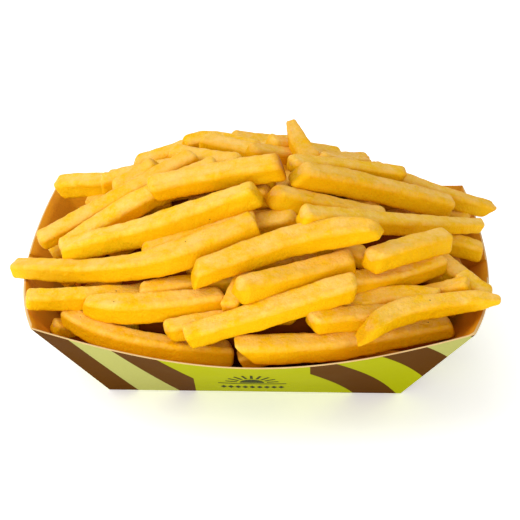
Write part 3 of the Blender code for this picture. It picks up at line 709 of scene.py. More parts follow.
class Heap:
    """Fries in the tray: those that show, and others laid one by one to carry them."""

    def __init__(self, tray):
        self.tray = empty_map()
        map_faces(self.tray, tray.data)
        bed = heap_top(*np.meshgrid(MAP_X, MAP_Y, indexing="ij")) - BED_DEPTH
        self.food = np.where(self.tray == NOTHING, NOTHING, bed)
        self.ceiling = empty_map()
        self.shown = [ShownFry(row, LYING_STEP * number) for number, row in enumerate(SHOWN)]
        self.hidden = []

    def cells_under(self, start, end, radius):
        """The map's cells under a stretch of a fry, with their places along and beside it."""
        low = np.minimum(start, end)[:2] - radius
        high = np.maximum(start, end)[:2] + radius
        i = slice(*np.searchsorted(MAP_X, (low[0], high[0])))
        j = slice(*np.searchsorted(MAP_Y, (low[1], high[1])))
        x, y = np.meshgrid(MAP_X[i], MAP_Y[j], indexing="ij")
        span = end[:2] - start[:2]
        length = np.linalg.norm(span)
        run = span / length
        along = ((x - start[0]) * run[0] + (y - start[1]) * run[1]) / length
        off = (y - start[1]) * run[0] - (x - start[0]) * run[1]
        inside = (along >= 0) & (along <= 1) & (np.abs(off) <= radius)
        middle = start[2] + (end[2] - start[2]) * along
        return (i, j), inside, middle, np.sqrt(np.maximum(radius**2 - off**2, 0))

    def make_ceiling(self):
        """Hidden fries stay under this: the shown ones, or a depth under the dome."""
        x, y = np.meshgrid(MAP_X, MAP_Y, indexing="ij")
        blend = np.clip((y - BACK_BEGINS) / BACK_BLEND + 0.5, 0, 1)
        self.ceiling = heap_top(x, y) + FRONT_CEILING + blend * (BACK_CEILING - FRONT_CEILING)
        self.ceiling = self.ceiling + FRY_SIDE / 2
        for fry in self.shown:
            line = fry.line()
            for k in range(len(line) - 1):
                radius = fry.radii[k]
                cells, inside, middle, half = self.cells_under(line[k], line[k + 1], radius)
                under = middle - half + CEILING_OVERLAP
                lowered = np.minimum(self.ceiling[cells], under)
                self.ceiling[cells] = np.where(inside, lowered, self.ceiling[cells])

    def stamp(self, line, radii):
        """Raise the food's height map by a fry."""
        for k in range(len(line) - 1):
            cells, inside, middle, half = self.cells_under(line[k], line[k + 1], radii[k])
            raised = np.maximum(self.food[cells], middle + half)
            self.food[cells] = np.where(inside, raised, self.food[cells])

    def sink(self, fry):
        """Lower each half of a shown fry along its sight lines until something carries it."""
        lowest = fry.ends - MOST_SINKING
        for _ in range(SINKING_ROUNDS):
            line = fry.line()
            share, on_food = rise_wanted(self.food, line, fry.radii * (1 - 2 * SINK))
            reach = fry.radii * 2 * CORNER_REACH + TRAY_GAP
            _, on_tray = rise_wanted(self.tray, line, reach)
            free = -np.maximum(on_food, on_tray)
            room = np.array([free[share <= 0.5].min(), free[share >= 0.5].min()])
            fry.ends = np.maximum(fry.ends - np.maximum(room, 0) * SINKING_SHARE, lowest)
        self.stamp(fry.line(), fry.radii)

    def rest_line(self, first, last, side):
        """The height at the middle and the slope at which a fry comes to rest."""
        span = last[:2] - first[:2]
        length = np.linalg.norm(span)
        run = span / length
        aside = np.array([-run[1], run[0]])
        centre = (first[:2] + last[:2]) / 2
        along = np.linspace(-length / 2, length / 2, HIDDEN_POINTS)[:, None]
        needed = []
        for heights, radius in (
            (self.food, side * (0.5 - SINK)),
            (self.tray, side * CORNER_REACH + TRAY_GAP),
        ):
            off = np.linspace(-WIDTH_FELT, WIDTH_FELT, POINTS_ACROSS)[None, :] * radius
            x = centre[0] + along * run[0] + off * aside[0]
            y = centre[1] + along * run[1] + off * aside[1]
            needed.append(np.max(read_map(heights, x, y) + np.sqrt(radius**2 - off**2), axis=1))
        need = np.max(needed, axis=0)
        places = along[:, 0]
        hull = []
        for k in range(len(places)):
            while len(hull) > 1:
                a, b = hull[-2], hull[-1]
                rise_ab = (need[b] - need[a]) * (places[k] - places[a])
                rise_ak = (need[k] - need[a]) * (places[b] - places[a])
                if rise_ab > rise_ak:
                    break
                hull.pop()
            hull.append(k)
        slope = 0.0
        for a, b in zip(hull, hull[1:]):
            if places[a] <= 0 <= places[b]:
                slope = (need[b] - need[a]) / (places[b] - places[a])
        slope = min(max(slope, -STEEPEST), STEEPEST)
        return np.max(need - slope * places), slope

    def lay_hidden(self, centre, heading, length, side):
        """Drop a fry onto the heap, and keep it if it stays under the ceiling."""
        run = np.array([math.cos(heading), math.sin(heading)])
        path = np.zeros((2, 3))
        path[0, :2] = centre - run * length / 2
        path[1, :2] = centre + run * length / 2
        middle, slope = self.rest_line(path[0], path[1], side)
        if middle < 0:
            return
        path[:, 2] = middle + slope * length / 2 * np.array([-1, 1])
        cells, inside, level, half = self.cells_under(path[0], path[1], side / 2)
        top = level + half
        if np.any(inside & (top > self.ceiling[cells])):
            return
        self.stamp(path, np.full(2, side / 2))
        self.hidden.append((path, np.array([side, side * HIDDEN_TAPER])))

    def fill(self):
        """Place the fries that show, then lay others under and behind them."""
        push_apart(self.shown, self.tray, PUSH_ROUNDS, DOME_PULL)
        self.make_ceiling()
        rng = np.random.default_rng(SEED)
        for number in range(HIDDEN_TRIES):
            over = self.shown[number % len(self.shown)].line()[rng.integers(POINTS_ALONG)]
            centre = over[:2] + rng.normal(0, HIDDEN_SPREAD, 2)
            if number % 2:
                centre[1] = rng.uniform(0, RIM_WIDTH / 2)
            heading = rng.normal(0, HEADING_SPREAD)
            shortest, longest = LONG_HIDDEN if number < HIDDEN_TRIES / 2 else SHORT_HIDDEN
            length = rng.uniform(shortest, longest)
            self.lay_hidden(centre, heading, length, FRY_SIDE * rng.uniform(*HIDDEN_SIDES))
        for fry in self.shown:
            self.sink(fry)
        push_apart(self.shown, self.tray, LAST_ROUNDS, 0)

    def paths(self):
        """Every fry's path and its side at each point of it."""
        return self.hidden + [(fry.path(), fry.sides) for fry in self.shown]


def add(tree, kind, inputs=None, **options):
    """Add a node to a tree. Each input is given a value, or another node's output to read."""
    node = tree.nodes.new(kind)
    for name, value in options.items():
        setattr(node, name, value)
    for name, given in (inputs or {}).items():
        if isinstance(given, bpy.types.NodeSocket):
            tree.links.new(given, node.inputs[name])
        else:
            node.inputs[name].default_value = given
    return node


def maths(tree, operation, *inputs):
    """The output of a maths node, whose inputs are sockets or numbers."""
    return add(tree, "ShaderNodeMath", dict(enumerate(inputs)), operation=operation).outputs[0]


def mixed(tree, factor, first, second):
    """The output of a colour mix, whose inputs are sockets, numbers or colours."""
    inputs = {0: factor, 6: first, 7: second}
    return add(tree, "ShaderNodeMix", inputs, data_type="RGBA").outputs[2]


def ranged(tree, value, source, target=(0.0, 1.0)):
    """A value with its range drawn to another, and held at that one's ends."""
    inputs = {"Value": value, 1: source[0], 2: source[1], 3: target[0], 4: target[1]}
    return add(tree, "ShaderNodeMapRange", inputs).outputs[0]


def grainy(tree, where, grains, detail, roughness=0.5):
    """Noise with about this many grains to the metre."""
    inputs = {"Vector": where, "Scale": grains, "Detail": detail, "Roughness": roughness}
    return add(tree, "ShaderNodeTexNoise", inputs).outputs[0]


def relief(tree, height, strength, depth, over=None):
    """A bump of this depth in metres, laid over another one where it is given."""
    inputs = {"Height": height, "Strength": strength, "Distance": depth}
    if over:
        inputs["Normal"] = over
    return add(tree, "ShaderNodeBump", inputs).outputs[0]


def new_material(name):
    """An empty node material with its tree and its shader, whose sockets the caller sets."""
    material = bpy.data.materials.new(name)
    material.use_nodes = True
    return material, material.node_tree, material.node_tree.nodes["Principled BSDF"]


def own_place(tree):
    """Places in the piece's own coordinates, in metres."""
    return add(tree, "ShaderNodeTexCoord").outputs["Object"]


def stripe_inks(tree, along):
    """The stripes' colours by the distance along the rim."""
    inks = {"brown": BOARD_BROWN, "cream": BOARD_CREAM, "lime": BOARD_LIME}
    period = sum(STRIPE_WIDTHS[ink] for ink in STRIPE_ORDER)
    from_start = maths(tree, "ADD", along, -STRIPE_START / BLANK_UNIT)
    turns = maths(tree, "MULTIPLY", from_start, BLANK_UNIT / period)
    share = maths(tree, "FRACT", turns)
    stripes = add(tree, "ShaderNodeValToRGB", {0: share})
    ramp = stripes.color_ramp
    ramp.interpolation = "CONSTANT"
    start = 0.0
    for number, ink in enumerate(STRIPE_ORDER):
        stop = ramp.elements[0] if number == 0 else ramp.elements.new(start / period)
        stop.position = start / period
        stop.color = linear(inks[ink])
        start += STRIPE_WIDTHS[ink]
    ramp.elements.remove(ramp.elements[-1])
    return stripes.outputs[0]


def printed_board():
    """Board with flat printed inks: crisp stripes, nearly matt, with a slight waviness."""
    material, tree, shader = new_material("printed_board")
    where = own_place(tree)
    blank = add(tree, "ShaderNodeUVMap", uv_map="blank").outputs[0]
    lateral, down, _ = add(tree, "ShaderNodeSeparateXYZ", {0: blank}).outputs
    leaning = maths(tree, "MULTIPLY", down, STRIPE_LEAN)
    stripes = stripe_inks(tree, maths(tree, "SUBTRACT", lateral, leaning))
    away = maths(tree, "ABSOLUTE", maths(tree, "SUBTRACT", lateral, PANEL_MIDDLE / BLANK_UNIT))
    in_panel = maths(tree, "LESS_THAN", away, PANEL_WIDTH / 2 / BLANK_UNIT)
    inked = mixed(tree, in_panel, stripes, linear(BOARD_LIME))
    uneven = ranged(tree, grainy(tree, where, 900.0, 2.0), (0.0, 1.0), (0.90, 1.0))
    printed = add(tree, "ShaderNodeHueSaturation", {"Color": inked, "Value": uneven})
    tree.links.new(printed.outputs[0], shader.inputs["Base Color"])
    gloss = ranged(tree, grainy(tree, where, 60.0, 3.0), (0.0, 1.0), (0.45, 0.60))
    tree.links.new(gloss, shader.inputs["Roughness"])
    wavy = relief(tree, grainy(tree, where, 45.0, 2.0), 0.25, 0.0006)
    tree.links.new(wavy, shader.inputs["Normal"])
    shader.inputs["Specular IOR Level"].default_value = 0.01
    return material


def bare_board():
    """Uncoated kraft board: brown, with fine fibres, and darker where the fat has soaked in."""
    material, tree, shader = new_material("bare_board")
    where = own_place(tree)
    drawn = add(tree, "ShaderNodeMapping", {"Scale": (0.25, 1.0, 1.0), "Vector": where}).outputs[0]
    fibre = grainy(tree, drawn, 1600.0, 4.0)
    fibres = ranged(tree, fibre, (0.45, 0.75), (0.0, 0.55))
    soaked = ranged(tree, grainy(tree, where, 38.0, 3.0), (0.50, 0.66), (0.0, 0.75))
    plain = mixed(tree, fibres, linear(KRAFT), linear(KRAFT_FIBRE))
    tree.links.new(mixed(tree, soaked, plain, linear(KRAFT_GREASE)), shader.inputs["Base Color"])
    dry = ranged(tree, soaked, (0.0, 1.0), (0.80, 0.45))
    tree.links.new(dry, shader.inputs["Roughness"])
    tree.links.new(relief(tree, fibre, 0.3, 0.0002), shader.inputs["Normal"])
    shader.inputs["Specular IOR Level"].default_value = 0.12
    return material


def cut_board():
    """The board's cut edge: pale, matt, and ribbed by its layers."""
    material, tree, shader = new_material("cut_board")
    where = own_place(tree)
    layers = grainy(tree, where, 2500.0, 2.0)
    tint = mixed(tree, layers, linear(CUT_BOARD), linear(KRAFT))
    lighter = mixed(tree, 0.35, tint, linear(CUT_BOARD))
    tree.links.new(lighter, shader.inputs["Base Color"])
    shader.inputs["Roughness"].default_value = 0.85
    return material


def emblem_ink():
    """Dark matt printing ink, which the board shows through a little."""
    material, tree, shader = new_material("emblem_ink")
    where = own_place(tree)
    thin = ranged(tree, grainy(tree, where, 1500.0, 2.0), (0.4, 0.9), (0.0, 0.25))
    tint = mixed(tree, thin, linear(EMBLEM_INK), linear(BOARD_LIME))
    tree.links.new(tint, shader.inputs["Base Color"])
    shader.inputs["Roughness"].default_value = 0.5
    shader.inputs["Specular IOR Level"].default_value = 0.02
    return material


def crust_colour(tree, where, toast):
    """The crust's colour, from what each fry's mesh tells of it and from noise."""
    crust = add(tree, "ShaderNodeAttribute", attribute_name="crust")
    edge, burn, tone_and_shade = add(tree, "ShaderNodeSeparateColor", {0: crust.outputs["Color"]}).outputs
    patches = ranged(tree, grainy(tree, where, 130.0, 5.0, 0.6), (0.38, 0.66))
    colour = mixed(tree, patches, linear(POTATO_GOLD), linear(POTATO_DEEP))
    # Painted sheen: the upper faces turn paler, in mottled patches
    upper = ranged(tree, crust.outputs["Alpha"], (0.76, 0.97))
    sheen_mottle = ranged(tree, grainy(tree, where, 120.0, 7.0, 0.78), (0.39, 0.60))
    pale = maths(tree, "MULTIPLY", upper, sheen_mottle)
    colour = mixed(tree, pale, colour, linear(POTATO_PAINTED_SHEEN))
    toasted = maths(tree, "MULTIPLY", ranged(tree, toast, (0.30, 0.75), (0.0, 0.45)), edge)
    colour = mixed(tree, toasted, colour, linear(POTATO_TOASTED))
    # Random tone, and painted shade deep in the heap
    colour = mixed(tree, tone_and_shade, colour, linear(POTATO_TONE_AND_SHADE))
    browned = ranged(tree, burn, (0.15, 0.85), (0.0, 0.9))
    colour = mixed(tree, browned, colour, linear(POTATO_BROWNED))
    charred = ranged(tree, burn, (0.75, 1.0), (0.0, 0.95))
    return mixed(tree, charred, colour, linear(POTATO_BURNT))


def specks(tree, where):
    """Where a few small dark specks lie."""
    cells = add(tree, "ShaderNodeTexVoronoi", {"Scale": 210.0, "Vector": where})
    chosen = add(tree, "ShaderNodeSeparateColor", {0: cells.outputs["Color"]}).outputs[0]
    rare = maths(tree, "LESS_THAN", chosen, 0.10)
    near = ranged(tree, cells.outputs["Distance"], (0.050, 0.085), (0.8, 0.0))
    return maths(tree, "MULTIPLY", near, rare)


def potato():
    """Fried potato: a thin golden crust with a painted sheen, in mottled patches, on its upper
    faces, toasted on its edges, browned at its cut ends and given painted shade deep in the heap.
    Its inside lets some light through, and a film of fat gives a soft shine."""
    material, tree, shader = new_material("potato")
    where = own_place(tree)
    toast = grainy(tree, where, 260.0, 4.0)
    colour = crust_colour(tree, where, toast)
    colour = mixed(tree, specks(tree, where), colour, linear(POTATO_BURNT))
    tree.links.new(colour, shader.inputs["Base Color"])
    tree.links.new(ranged(tree, toast, (0.3, 0.7), (0.40, 0.62)), shader.inputs["Roughness"])
    fine = relief(tree, grainy(tree, where, 1300.0, 3.0), 0.6, 0.00035)
    pitted = relief(tree, grainy(tree, where, 620.0, 4.0, 0.6), 0.6, 0.0007, fine)
    tree.links.new(relief(tree, toast, 0.5, 0.0009, pitted), shader.inputs["Normal"])
    shader.inputs["Subsurface Weight"].default_value = 0.14
    shader.inputs["Subsurface Radius"].default_value = (1.0, 0.45, 0.08)
    shader.inputs["Subsurface Scale"].default_value = 0.0022
    shader.inputs["Specular IOR Level"].default_value = 0.09
    return material


def shaded_potato():
    """The fill deep in the heap: a dull dark red-brown, as only light that fries have coloured
    comes back from there."""
    material, _, shader = new_material("shaded_potato")
    shader.inputs["Base Color"].default_value = linear(POTATO_SHADE)
    shader.inputs["Roughness"].default_value = 0.9
    shader.inputs["Specular IOR Level"].default_value = 0.1
    return material


def link_piece(name, data, materials, node):
    """Link a piece to the scene, give it its materials and tie it to the frame."""
    piece = bpy.data.objects.new(name, data)
    bpy.context.collection.objects.link(piece)
    for material in materials:
        data.materials.append(material)
    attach(piece, "root")
    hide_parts(node)
    return piece


def build_tray(materials):
    """The tray: printed outside, bare inside, with its cut edge showing at the rim."""
    mesh, outer, inner, levels = tray_shell(FINE, FINE_WEB_STEP)
    blank = mesh.loops.layers.uv.new("blank")
    outside = {v[0]: (k, i) for k, ring in enumerate(outer) for i, v in enumerate(ring)}
    insides = {vertex for ring in inner for vertex in ring}
    for face in mesh.faces:
        held = [v for v in face.verts if v in insides]
        face.material_index = 0 if not held else (1 if len(held) == len(face.verts) else 2)
        face.smooth = True
        if face.material_index:
            continue
        if len(face.verts) > 4:
            for loop in face.loops:
                loop[blank].uv = (loop.vert.co.x / BLANK_UNIT, loop.vert.co.y / BLANK_UNIT)
            continue
        places = [outside[v] for v in face.verts]
        count = len(outer[0])
        columns = [i for _, i in places]
        first = max(columns) if max(columns) - min(columns) > 1 else min(columns)
        side = outer[0][first][2]
        shift = 0 if side in ("front", "back") else END_WALL_SHIFT
        for loop, (k, i) in zip(face.loops, places):
            across = outer[k][i][3] if i == first else outer[k][(first + 1) % count][3]
            if i != first and outer[k][i][2] != side:
                across = 1.0
            lateral = across * wall_half(side, levels[k]) + shift
            down = (1 - levels[k]) * board_drop(side)
            loop[blank].uv = (lateral / BLANK_UNIT, down / BLANK_UNIT)
    for edge in mesh.edges:
        if len(edge.link_faces) == 2 and edge.calc_face_angle(0) > math.radians(CREASE):
            edge.smooth = False
    bmesh.ops.triangulate(mesh, faces=[f for f in mesh.faces if len(f.verts) > 4])
    bmesh.ops.recalc_face_normals(mesh, faces=mesh.faces)
    data = bpy.data.meshes.new("tray")
    mesh.to_mesh(data)
    mesh.free()
    return link_piece("tray", data, materials, "carton")


def on_front(out, down):
    """A place just proud of the front wall, from the panel's middle and down from the rim."""
    up = 1 - down / board_drop("front")

    def face(lateral, level):
        return Vector(wall_point("front", lateral / wall_half("front", level), level))

    lateral = PANEL_MIDDLE + out
    here = face(lateral, up)
    normal = (face(lateral + CELL, up) - here).cross(face(lateral, up + 0.01) - here)
    return here + normal.normalized() * INK_PROUD


def ink_patch(mesh, corners, steps=(1, 1)):
    """A printed patch between four corners of the front wall, in steps that follow its bow."""
    a, b, c, d = (np.array(corner) for corner in corners)
    grid = []
    for s in np.linspace(0, 1, steps[0] + 1):
        row = []
        for t in np.linspace(0, 1, steps[1] + 1):
            out, down = (a * (1 - s) + b * s) * (1 - t) + (d * (1 - s) + c * s) * t
            row.append(mesh.verts.new(on_front(out, down)))
        grid.append(row)
    for near, far in zip(grid, grid[1:]):
        for i in range(len(near) - 1):
            mesh.faces.new((near[i], near[i + 1], far[i + 1], far[i]))


def build_emblem(material):
    """A plain emblem for the panel: a rising sun on a rule, over a row of lozenges."""
    mesh = bmesh.new()

    def sun_place(share, angle):
        """A place of the sun: share runs from its middle to the tips of its rays."""
        out = share * SUN_HALF_WIDTH * math.cos(angle)
        return (out, SUN_BASE - RULE_WIDTH - share * SUN_HEIGHT * math.sin(angle))

    wedge = math.pi / SUN_RAYS
    for ray in range(SUN_RAYS):
        middle, half = wedge * (ray + 0.5), wedge * RAY_SHARE / 2
        inner, outer = SUN_HUB + RAY_GAP, 1.0
        corners = [sun_place(inner, middle - half), sun_place(outer, middle - half / 2)]
        corners += [sun_place(outer, middle + half / 2), sun_place(inner, middle + half)]
        ink_patch(mesh, corners)
        first, last = wedge * ray, wedge * (ray + 1)
        corners = [sun_place(0, first), sun_place(SUN_HUB, first)]
        corners += [sun_place(SUN_HUB, last), sun_place(HUB_TIP, last)]
        ink_patch(mesh, corners)
    ends = (-RULE_HALF, RULE_HALF)
    corners = [(out, SUN_BASE) for out in ends]
    corners += [(out, SUN_BASE + RULE_WIDTH) for out in reversed(ends)]
    ink_patch(mesh, corners, (RULE_STEPS, 1))
    wide, tall = LOZENGE_SIZE
    for number in range(LOZENGES):
        out = (number - (LOZENGES - 1) / 2) * LOZENGE_STEP
        corners = [(out - wide, LOZENGE_ROW), (out, LOZENGE_ROW - tall)]
        corners += [(out + wide, LOZENGE_ROW), (out, LOZENGE_ROW + tall)]
        ink_patch(mesh, corners)
    bmesh.ops.recalc_face_normals(mesh, faces=mesh.faces)
    data = bpy.data.meshes.new("emblem")
    mesh.to_mesh(data)
    mesh.free()
    return link_piece("emblem", data, [material], "carton")


def smooth_line(path, count, bow):
    """Points at even steps along a path, with its corners rounded and a slight bow."""
    steps = np.linalg.norm(np.diff(path, axis=0), axis=1)
    reached = np.concatenate(([0], np.cumsum(steps))) / steps.sum()
    share = np.linspace(0, 1, count)
    line = np.column_stack([np.interp(share, reached, c) for c in path.T])
    for _ in range(CORNER_ROUNDING):
        line[1:-1] = (line[:-2] + 2 * line[1:-1] + line[2:]) / 4
    return line + np.outer(4 * share * (1 - share), bow)


def shaken(places, seed, wave):
    """Noise of one wave length and height at each place."""
    length, height = wave
    shift = Vector([seed * step for step in NOISE_STEP])
    return height * np.array([noise.noise(Vector(p) / length + shift) for p in places])


def square_section():
    """Points round a square of half side 1 with rounded corners, and how near a corner each is."""
    outline = []
    for quarter in range(4):
        turn = quarter * math.pi / 2
        for step in range(CORNER_STEPS):
            angle = math.pi / 2 * step / (CORNER_STEPS - 1)
            corner = 1 - CORNER_ROUND + CORNER_ROUND * np.array([math.cos(angle), math.sin(angle)])
            outline.append((corner, turn, 1.0))
        for step in range(1, FLAT_STEPS + 1):
            share = 2 * step / (FLAT_STEPS + 1) - 1
            hollow = 1 - FACE_HOLLOW * (1 - share**2)
            flat = np.array([-share * (1 - CORNER_ROUND), hollow])
            outline.append((flat, turn, abs(share) ** 3))
    points = []
    for (x, y), turn, _ in outline:
        c, s = math.cos(turn), math.sin(turn)
        points.append((x * c - y * s, x * s + y * c))
    return np.array(points).T, np.array([edge for _, _, edge in outline])


def ring_places(length, count, rounds):
    """Where a fry's rings stand along it, from 0 to 1, how much half its side is drawn in at
    each by the round edges of its ends, and by what share on its end faces."""
    turns = np.linspace(math.pi / 2, 0, END_RINGS)
    faces = len(END_FACE_RINGS)
    near = np.concatenate((np.zeros(faces), 1 - np.sin(turns)))
    drawn_in = np.concatenate((np.ones(faces), 1 - np.cos(turns)))
    shrink = np.concatenate((END_FACE_RINGS, np.ones(END_RINGS)))
    middle = np.linspace(rounds[0], length - rounds[1], count)[1:-1]
    start, end = near * rounds[0], length - near[::-1] * rounds[1]
    along = np.concatenate((start, middle, end)) / length
    start, end = drawn_in * rounds[0], drawn_in[::-1] * rounds[1]
    inset = np.concatenate((start, np.zeros(len(middle)), end))
    return along, inset, np.concatenate((shrink, np.ones(len(middle)), shrink[::-1]))


class FryForm:
    """The surface of one fry: rings of points along a bent line, closed at either end."""

    def __init__(self, path, sides, seed, burns, shaded, aslant=None, sideways=None):
        self.rng = rng = np.random.default_rng(seed)
        self.seed, self.burns, self.shaded = seed, burns, shaded
        steps = np.linalg.norm(np.diff(path, axis=0), axis=1)
        length = steps.sum()
        count = max(int(length / RING_STEP), LEAST_RINGS)
        known = np.linspace(0, 1, count)
        line = smooth_line(path, count, rng.uniform(-MOST_BOW, MOST_BOW, 3))
        end_sides = np.array([sides[0], sides[-1]])
        rounds = np.minimum(rng.uniform(*END_ROUND, 2), end_sides * MOST_END_ROUND)
        along, inset, shrink = ring_places(length, count, rounds)
        self.distance = (along * length, (1 - along) * length)
        self.line = np.column_stack([np.interp(along, known, c) for c in line.T])
        ahead = np.gradient(line, axis=0)
        self.ahead = np.column_stack([np.interp(along, known, c) for c in ahead.T])
        self.ahead /= np.linalg.norm(self.ahead, axis=1)[:, None]
        reached = np.concatenate(([0], np.cumsum(steps))) / length
        half = self.half_sides(np.interp(known, reached, sides) / 2, line)
        self.half = (np.interp(along, known, half) - inset) * shrink
        dish = END_DISH * rng.uniform(-1, 1, 2)
        hollow = (1 - shrink**2) * np.where(along < 0.5, dish[0], dish[1])
        self.line = self.line + self.ahead * hollow[:, None]
        forward = 1 if path[-1][0] > path[0][0] else -1
        roll = math.radians(forward * LEAN_TO_FRONT + rng.uniform(-MOST_ROLL, MOST_ROLL))
        twist = math.radians(rng.uniform(-MOST_TWIST, MOST_TWIST))
        self.roll = roll + twist * (along - 0.5)
        self.slants = np.tan(np.radians(rng.uniform(-MOST_SLANT, MOST_SLANT, (2, 2))))
        if sideways:
            self.slants[:, 0] = sideways
        if aslant:
            self.slants[:, 1] = aslant
        self.blisters = rng.integers(*BLISTERS)

    def half_sides(self, half, line):
        """Half of the fry's side along its line, smoothed, then swollen and uneven."""
        for _ in range(CORNER_ROUNDING // 2):
            half[1:-1] = (half[:-2] + 2 * half[1:-1] + half[2:]) / 4
        uneven = shaken(line, self.seed + NOISE_SHIFTS["section"], SECTION_WAVE)
        return half * SWELL * (1 + uneven)

    def rings(self):
        """The places of every ring's points, how near each is to a long edge, and how high."""
        (across, up), edge = square_section()
        aside = np.cross((0, 0, 1), self.ahead)
        aside /= np.linalg.norm(aside, axis=1)[:, None]
        above = np.cross(self.ahead, aside)
        cos, sin = np.cos(self.roll)[:, None], np.sin(self.roll)[:, None]
        aside, above = aside * cos + above * sin, above * cos - aside * sin
        x, y = np.outer(self.half, across), np.outer(self.half, up)
        slide = np.zeros_like(x)
        for end in (0, 1):
            fade = np.exp(-((self.distance[end] / SLANT_FADES) ** 2))[:, None]
            slide += fade * (self.slants[end, 0] * x + self.slants[end, 1] * y)
        places = self.line[:, None, :] + x[..., None] * aside[:, None, :]
        places = places + y[..., None] * above[:, None, :]
        places = places + slide[..., None] * self.ahead[:, None, :]
        return places, np.tile(edge, (len(self.line), 1)), np.tile(up, (len(self.line), 1))

    def roughen(self, places, edge):
        """Dents, rippled edges and blisters, along each point's way out of the fry."""
        out = places - self.line[:, None, :]
        out /= np.maximum(np.linalg.norm(out, axis=2), 1e-6)[..., None]
        flat = places.reshape(-1, 3)
        raised = shaken(flat, self.seed + NOISE_SHIFTS["dent"], DENT)
        raised = raised + shaken(flat, self.seed + NOISE_SHIFTS["grain"], GRAIN)
        everywhere, at_edges = RIPPLE_SHARES
        rippled = shaken(flat, self.seed + NOISE_SHIFTS["ripple"], RIPPLE)
        raised += rippled * (everywhere + at_edges * edge.reshape(-1))
        for _ in range(self.blisters):
            centre = flat[self.rng.integers(len(flat))]
            size = self.rng.uniform(*BLISTER_SIZE)
            away = np.linalg.norm(flat - centre, axis=1) / size
            raised += self.rng.uniform(*BLISTER_HEIGHT) * np.exp(-2 * away**2)
        return places + out * raised.reshape(places.shape[:2])[..., None]

    def browning(self):
        """How browned each ring is by its distance from the two cut ends."""
        burn = np.zeros(len(self.line))
        for end in (0, 1):
            fade = np.exp(-self.distance[end] / BROWNING_FADES)
            burn = np.maximum(burn, self.burns[end] * fade)
        return burn

    def crust(self, verts, edge, up):
        """What a fry tells its material at each point: how near a long edge it is, how browned,
        how deep in colour by its random tone and by painted shade under the heap's dome, and how
        high on the fry, which places the painted sheen of its upper faces."""
        burn = self.browning()
        tone = self.rng.uniform(0.0, MOST_TONE) ** TONE_POWER
        # Painted shade: deeper colour the further a point lies under the heap's dome
        depth = heap_top(verts[:, 0], verts[:, 1]) - verts[:, 2]
        tone_and_shade = tone + (1 - tone) * np.interp(depth, self.shaded, (0, 1))
        near_edge = np.concatenate((edge.reshape(-1), (0, 0)))
        browned = np.concatenate((np.repeat(burn, edge.shape[1]), (burn[0], burn[-1])))
        height = np.concatenate((up.reshape(-1) / 2 + 0.5, (0.5, 0.5)))
        return np.column_stack((near_edge, browned, tone_and_shade, height))

    def mesh_data(self, name):
        """The finished mesh, with a fan of faces to the middle of either end."""
        places, edge, up = self.rings()
        places = self.roughen(places, edge)
        count, around = edge.shape
        ends = [places[0].mean(axis=0), places[-1].mean(axis=0)]
        verts = kept_in_tray(np.vstack((places.reshape(-1, 3), ends)))
        faces = []
        for k in range(count - 1):
            for i in range(around):
                j = (i + 1) % around
                a, b = k * around, (k + 1) * around
                faces.append((a + i, a + j, b + j, b + i))
        first, last = count * around, count * around + 1
        for i in range(around):
            j = (i + 1) % around
            faces.append((first, j, i))
            faces.append((last, (count - 1) * around + i, (count - 1) * around + j))
        data = bpy.data.meshes.new(name)
        data.from_pydata(verts.tolist(), [], faces)
        data.shade_smooth()
        layer = data.color_attributes.new("crust", "FLOAT_COLOR", "POINT")
        layer.data.foreach_set("color", self.crust(verts, edge, up).ravel())
        return data


def kept_in_tray(verts):
    """The vertices, with those that lie a little way through a wall drawn back to its inside."""
    for side, (along, out) in WALLS.items():
        long_wall = side in ("front", "back")
        base_out, rim_out = (BASE_WIDTH, RIM_WIDTH) if long_wall else (BASE_LENGTH, RIM_LENGTH)
        up = verts[:, 2] / TRAY_HEIGHT
        for _ in range(WALL_ROUNDS):
            across = np.clip(verts[:, :2] @ along / wall_half(side, up), -1, 1)
            reach = (rim_out - base_out) / 2 + RIM_BULGES[side] * (1 - across**2)
            up = verts[:, 2] / np.sqrt(board_drop(side) ** 2 - reach**2)
        over = verts[:, :2] @ out - (base_out / 2 + up * reach - WALL_ROOM[1 if long_wall else 2])
        pierced = (over > 0) & (over < WALL_PIERCED + WALL_ROOM[2])
        verts[:, :2] -= np.outer(over * pierced * np.interp(up, (1, 1 + RIM_FADE), (1, 0)), out)
    verts[:, 2] = np.maximum(verts[:, 2], BOARD)
    return verts


def build_core(material):
    """The fill down in the heap, which only shows as shade between the fries."""
    mesh = core_mesh()
    bmesh.ops.recalc_face_normals(mesh, faces=mesh.faces)
    data = bpy.data.meshes.new("heap_core")
    mesh.to_mesh(data)
    mesh.free()
    data.shade_smooth()
    return link_piece("heap_core", data, [material], "fries")


def lay_deep(heap):
    """Fries half sunk in the fill, laid where nothing else covers it from above."""
    mesh = core_mesh()
    data = bpy.data.meshes.new("felt_core")
    mesh.to_mesh(data)
    mesh.free()
    fill = empty_map()
    map_faces(fill, data)
    bpy.data.meshes.remove(data)
    rng = np.random.default_rng(DEEP_SEED)
    share = np.linspace(-0.5, 0.5, DEEP_POINTS)
    laid = []
    for _ in range(DEEP_TRIES):
        bare = np.argwhere(fill > heap.food)
        i, j = bare[rng.integers(len(bare))]
        heading = rng.uniform(0, math.pi)
        side = FRY_SIDE * rng.uniform(*HIDDEN_SIDES)
        for length in DEEP_LENGTHS:
            x = MAP_X[i] + share * length * math.cos(heading)
            y = MAP_Y[j] + share * length * math.sin(heading)
            level = read_map(fill, x, y)
            uncovered = np.mean(read_map(heap.food, x, y) < level + DEEP_COVER)
            if min(level[0], level[-1]) > 0 and uncovered >= DEEP_BARE_SHARE:
                path = np.column_stack((x, y, level - DEEP_SINK))[[0, DEEP_POINTS // 2, -1]]
                heap.stamp(path, np.full(3, side / 2))
                laid.append((path, np.full(3, side)))
                break
    return laid


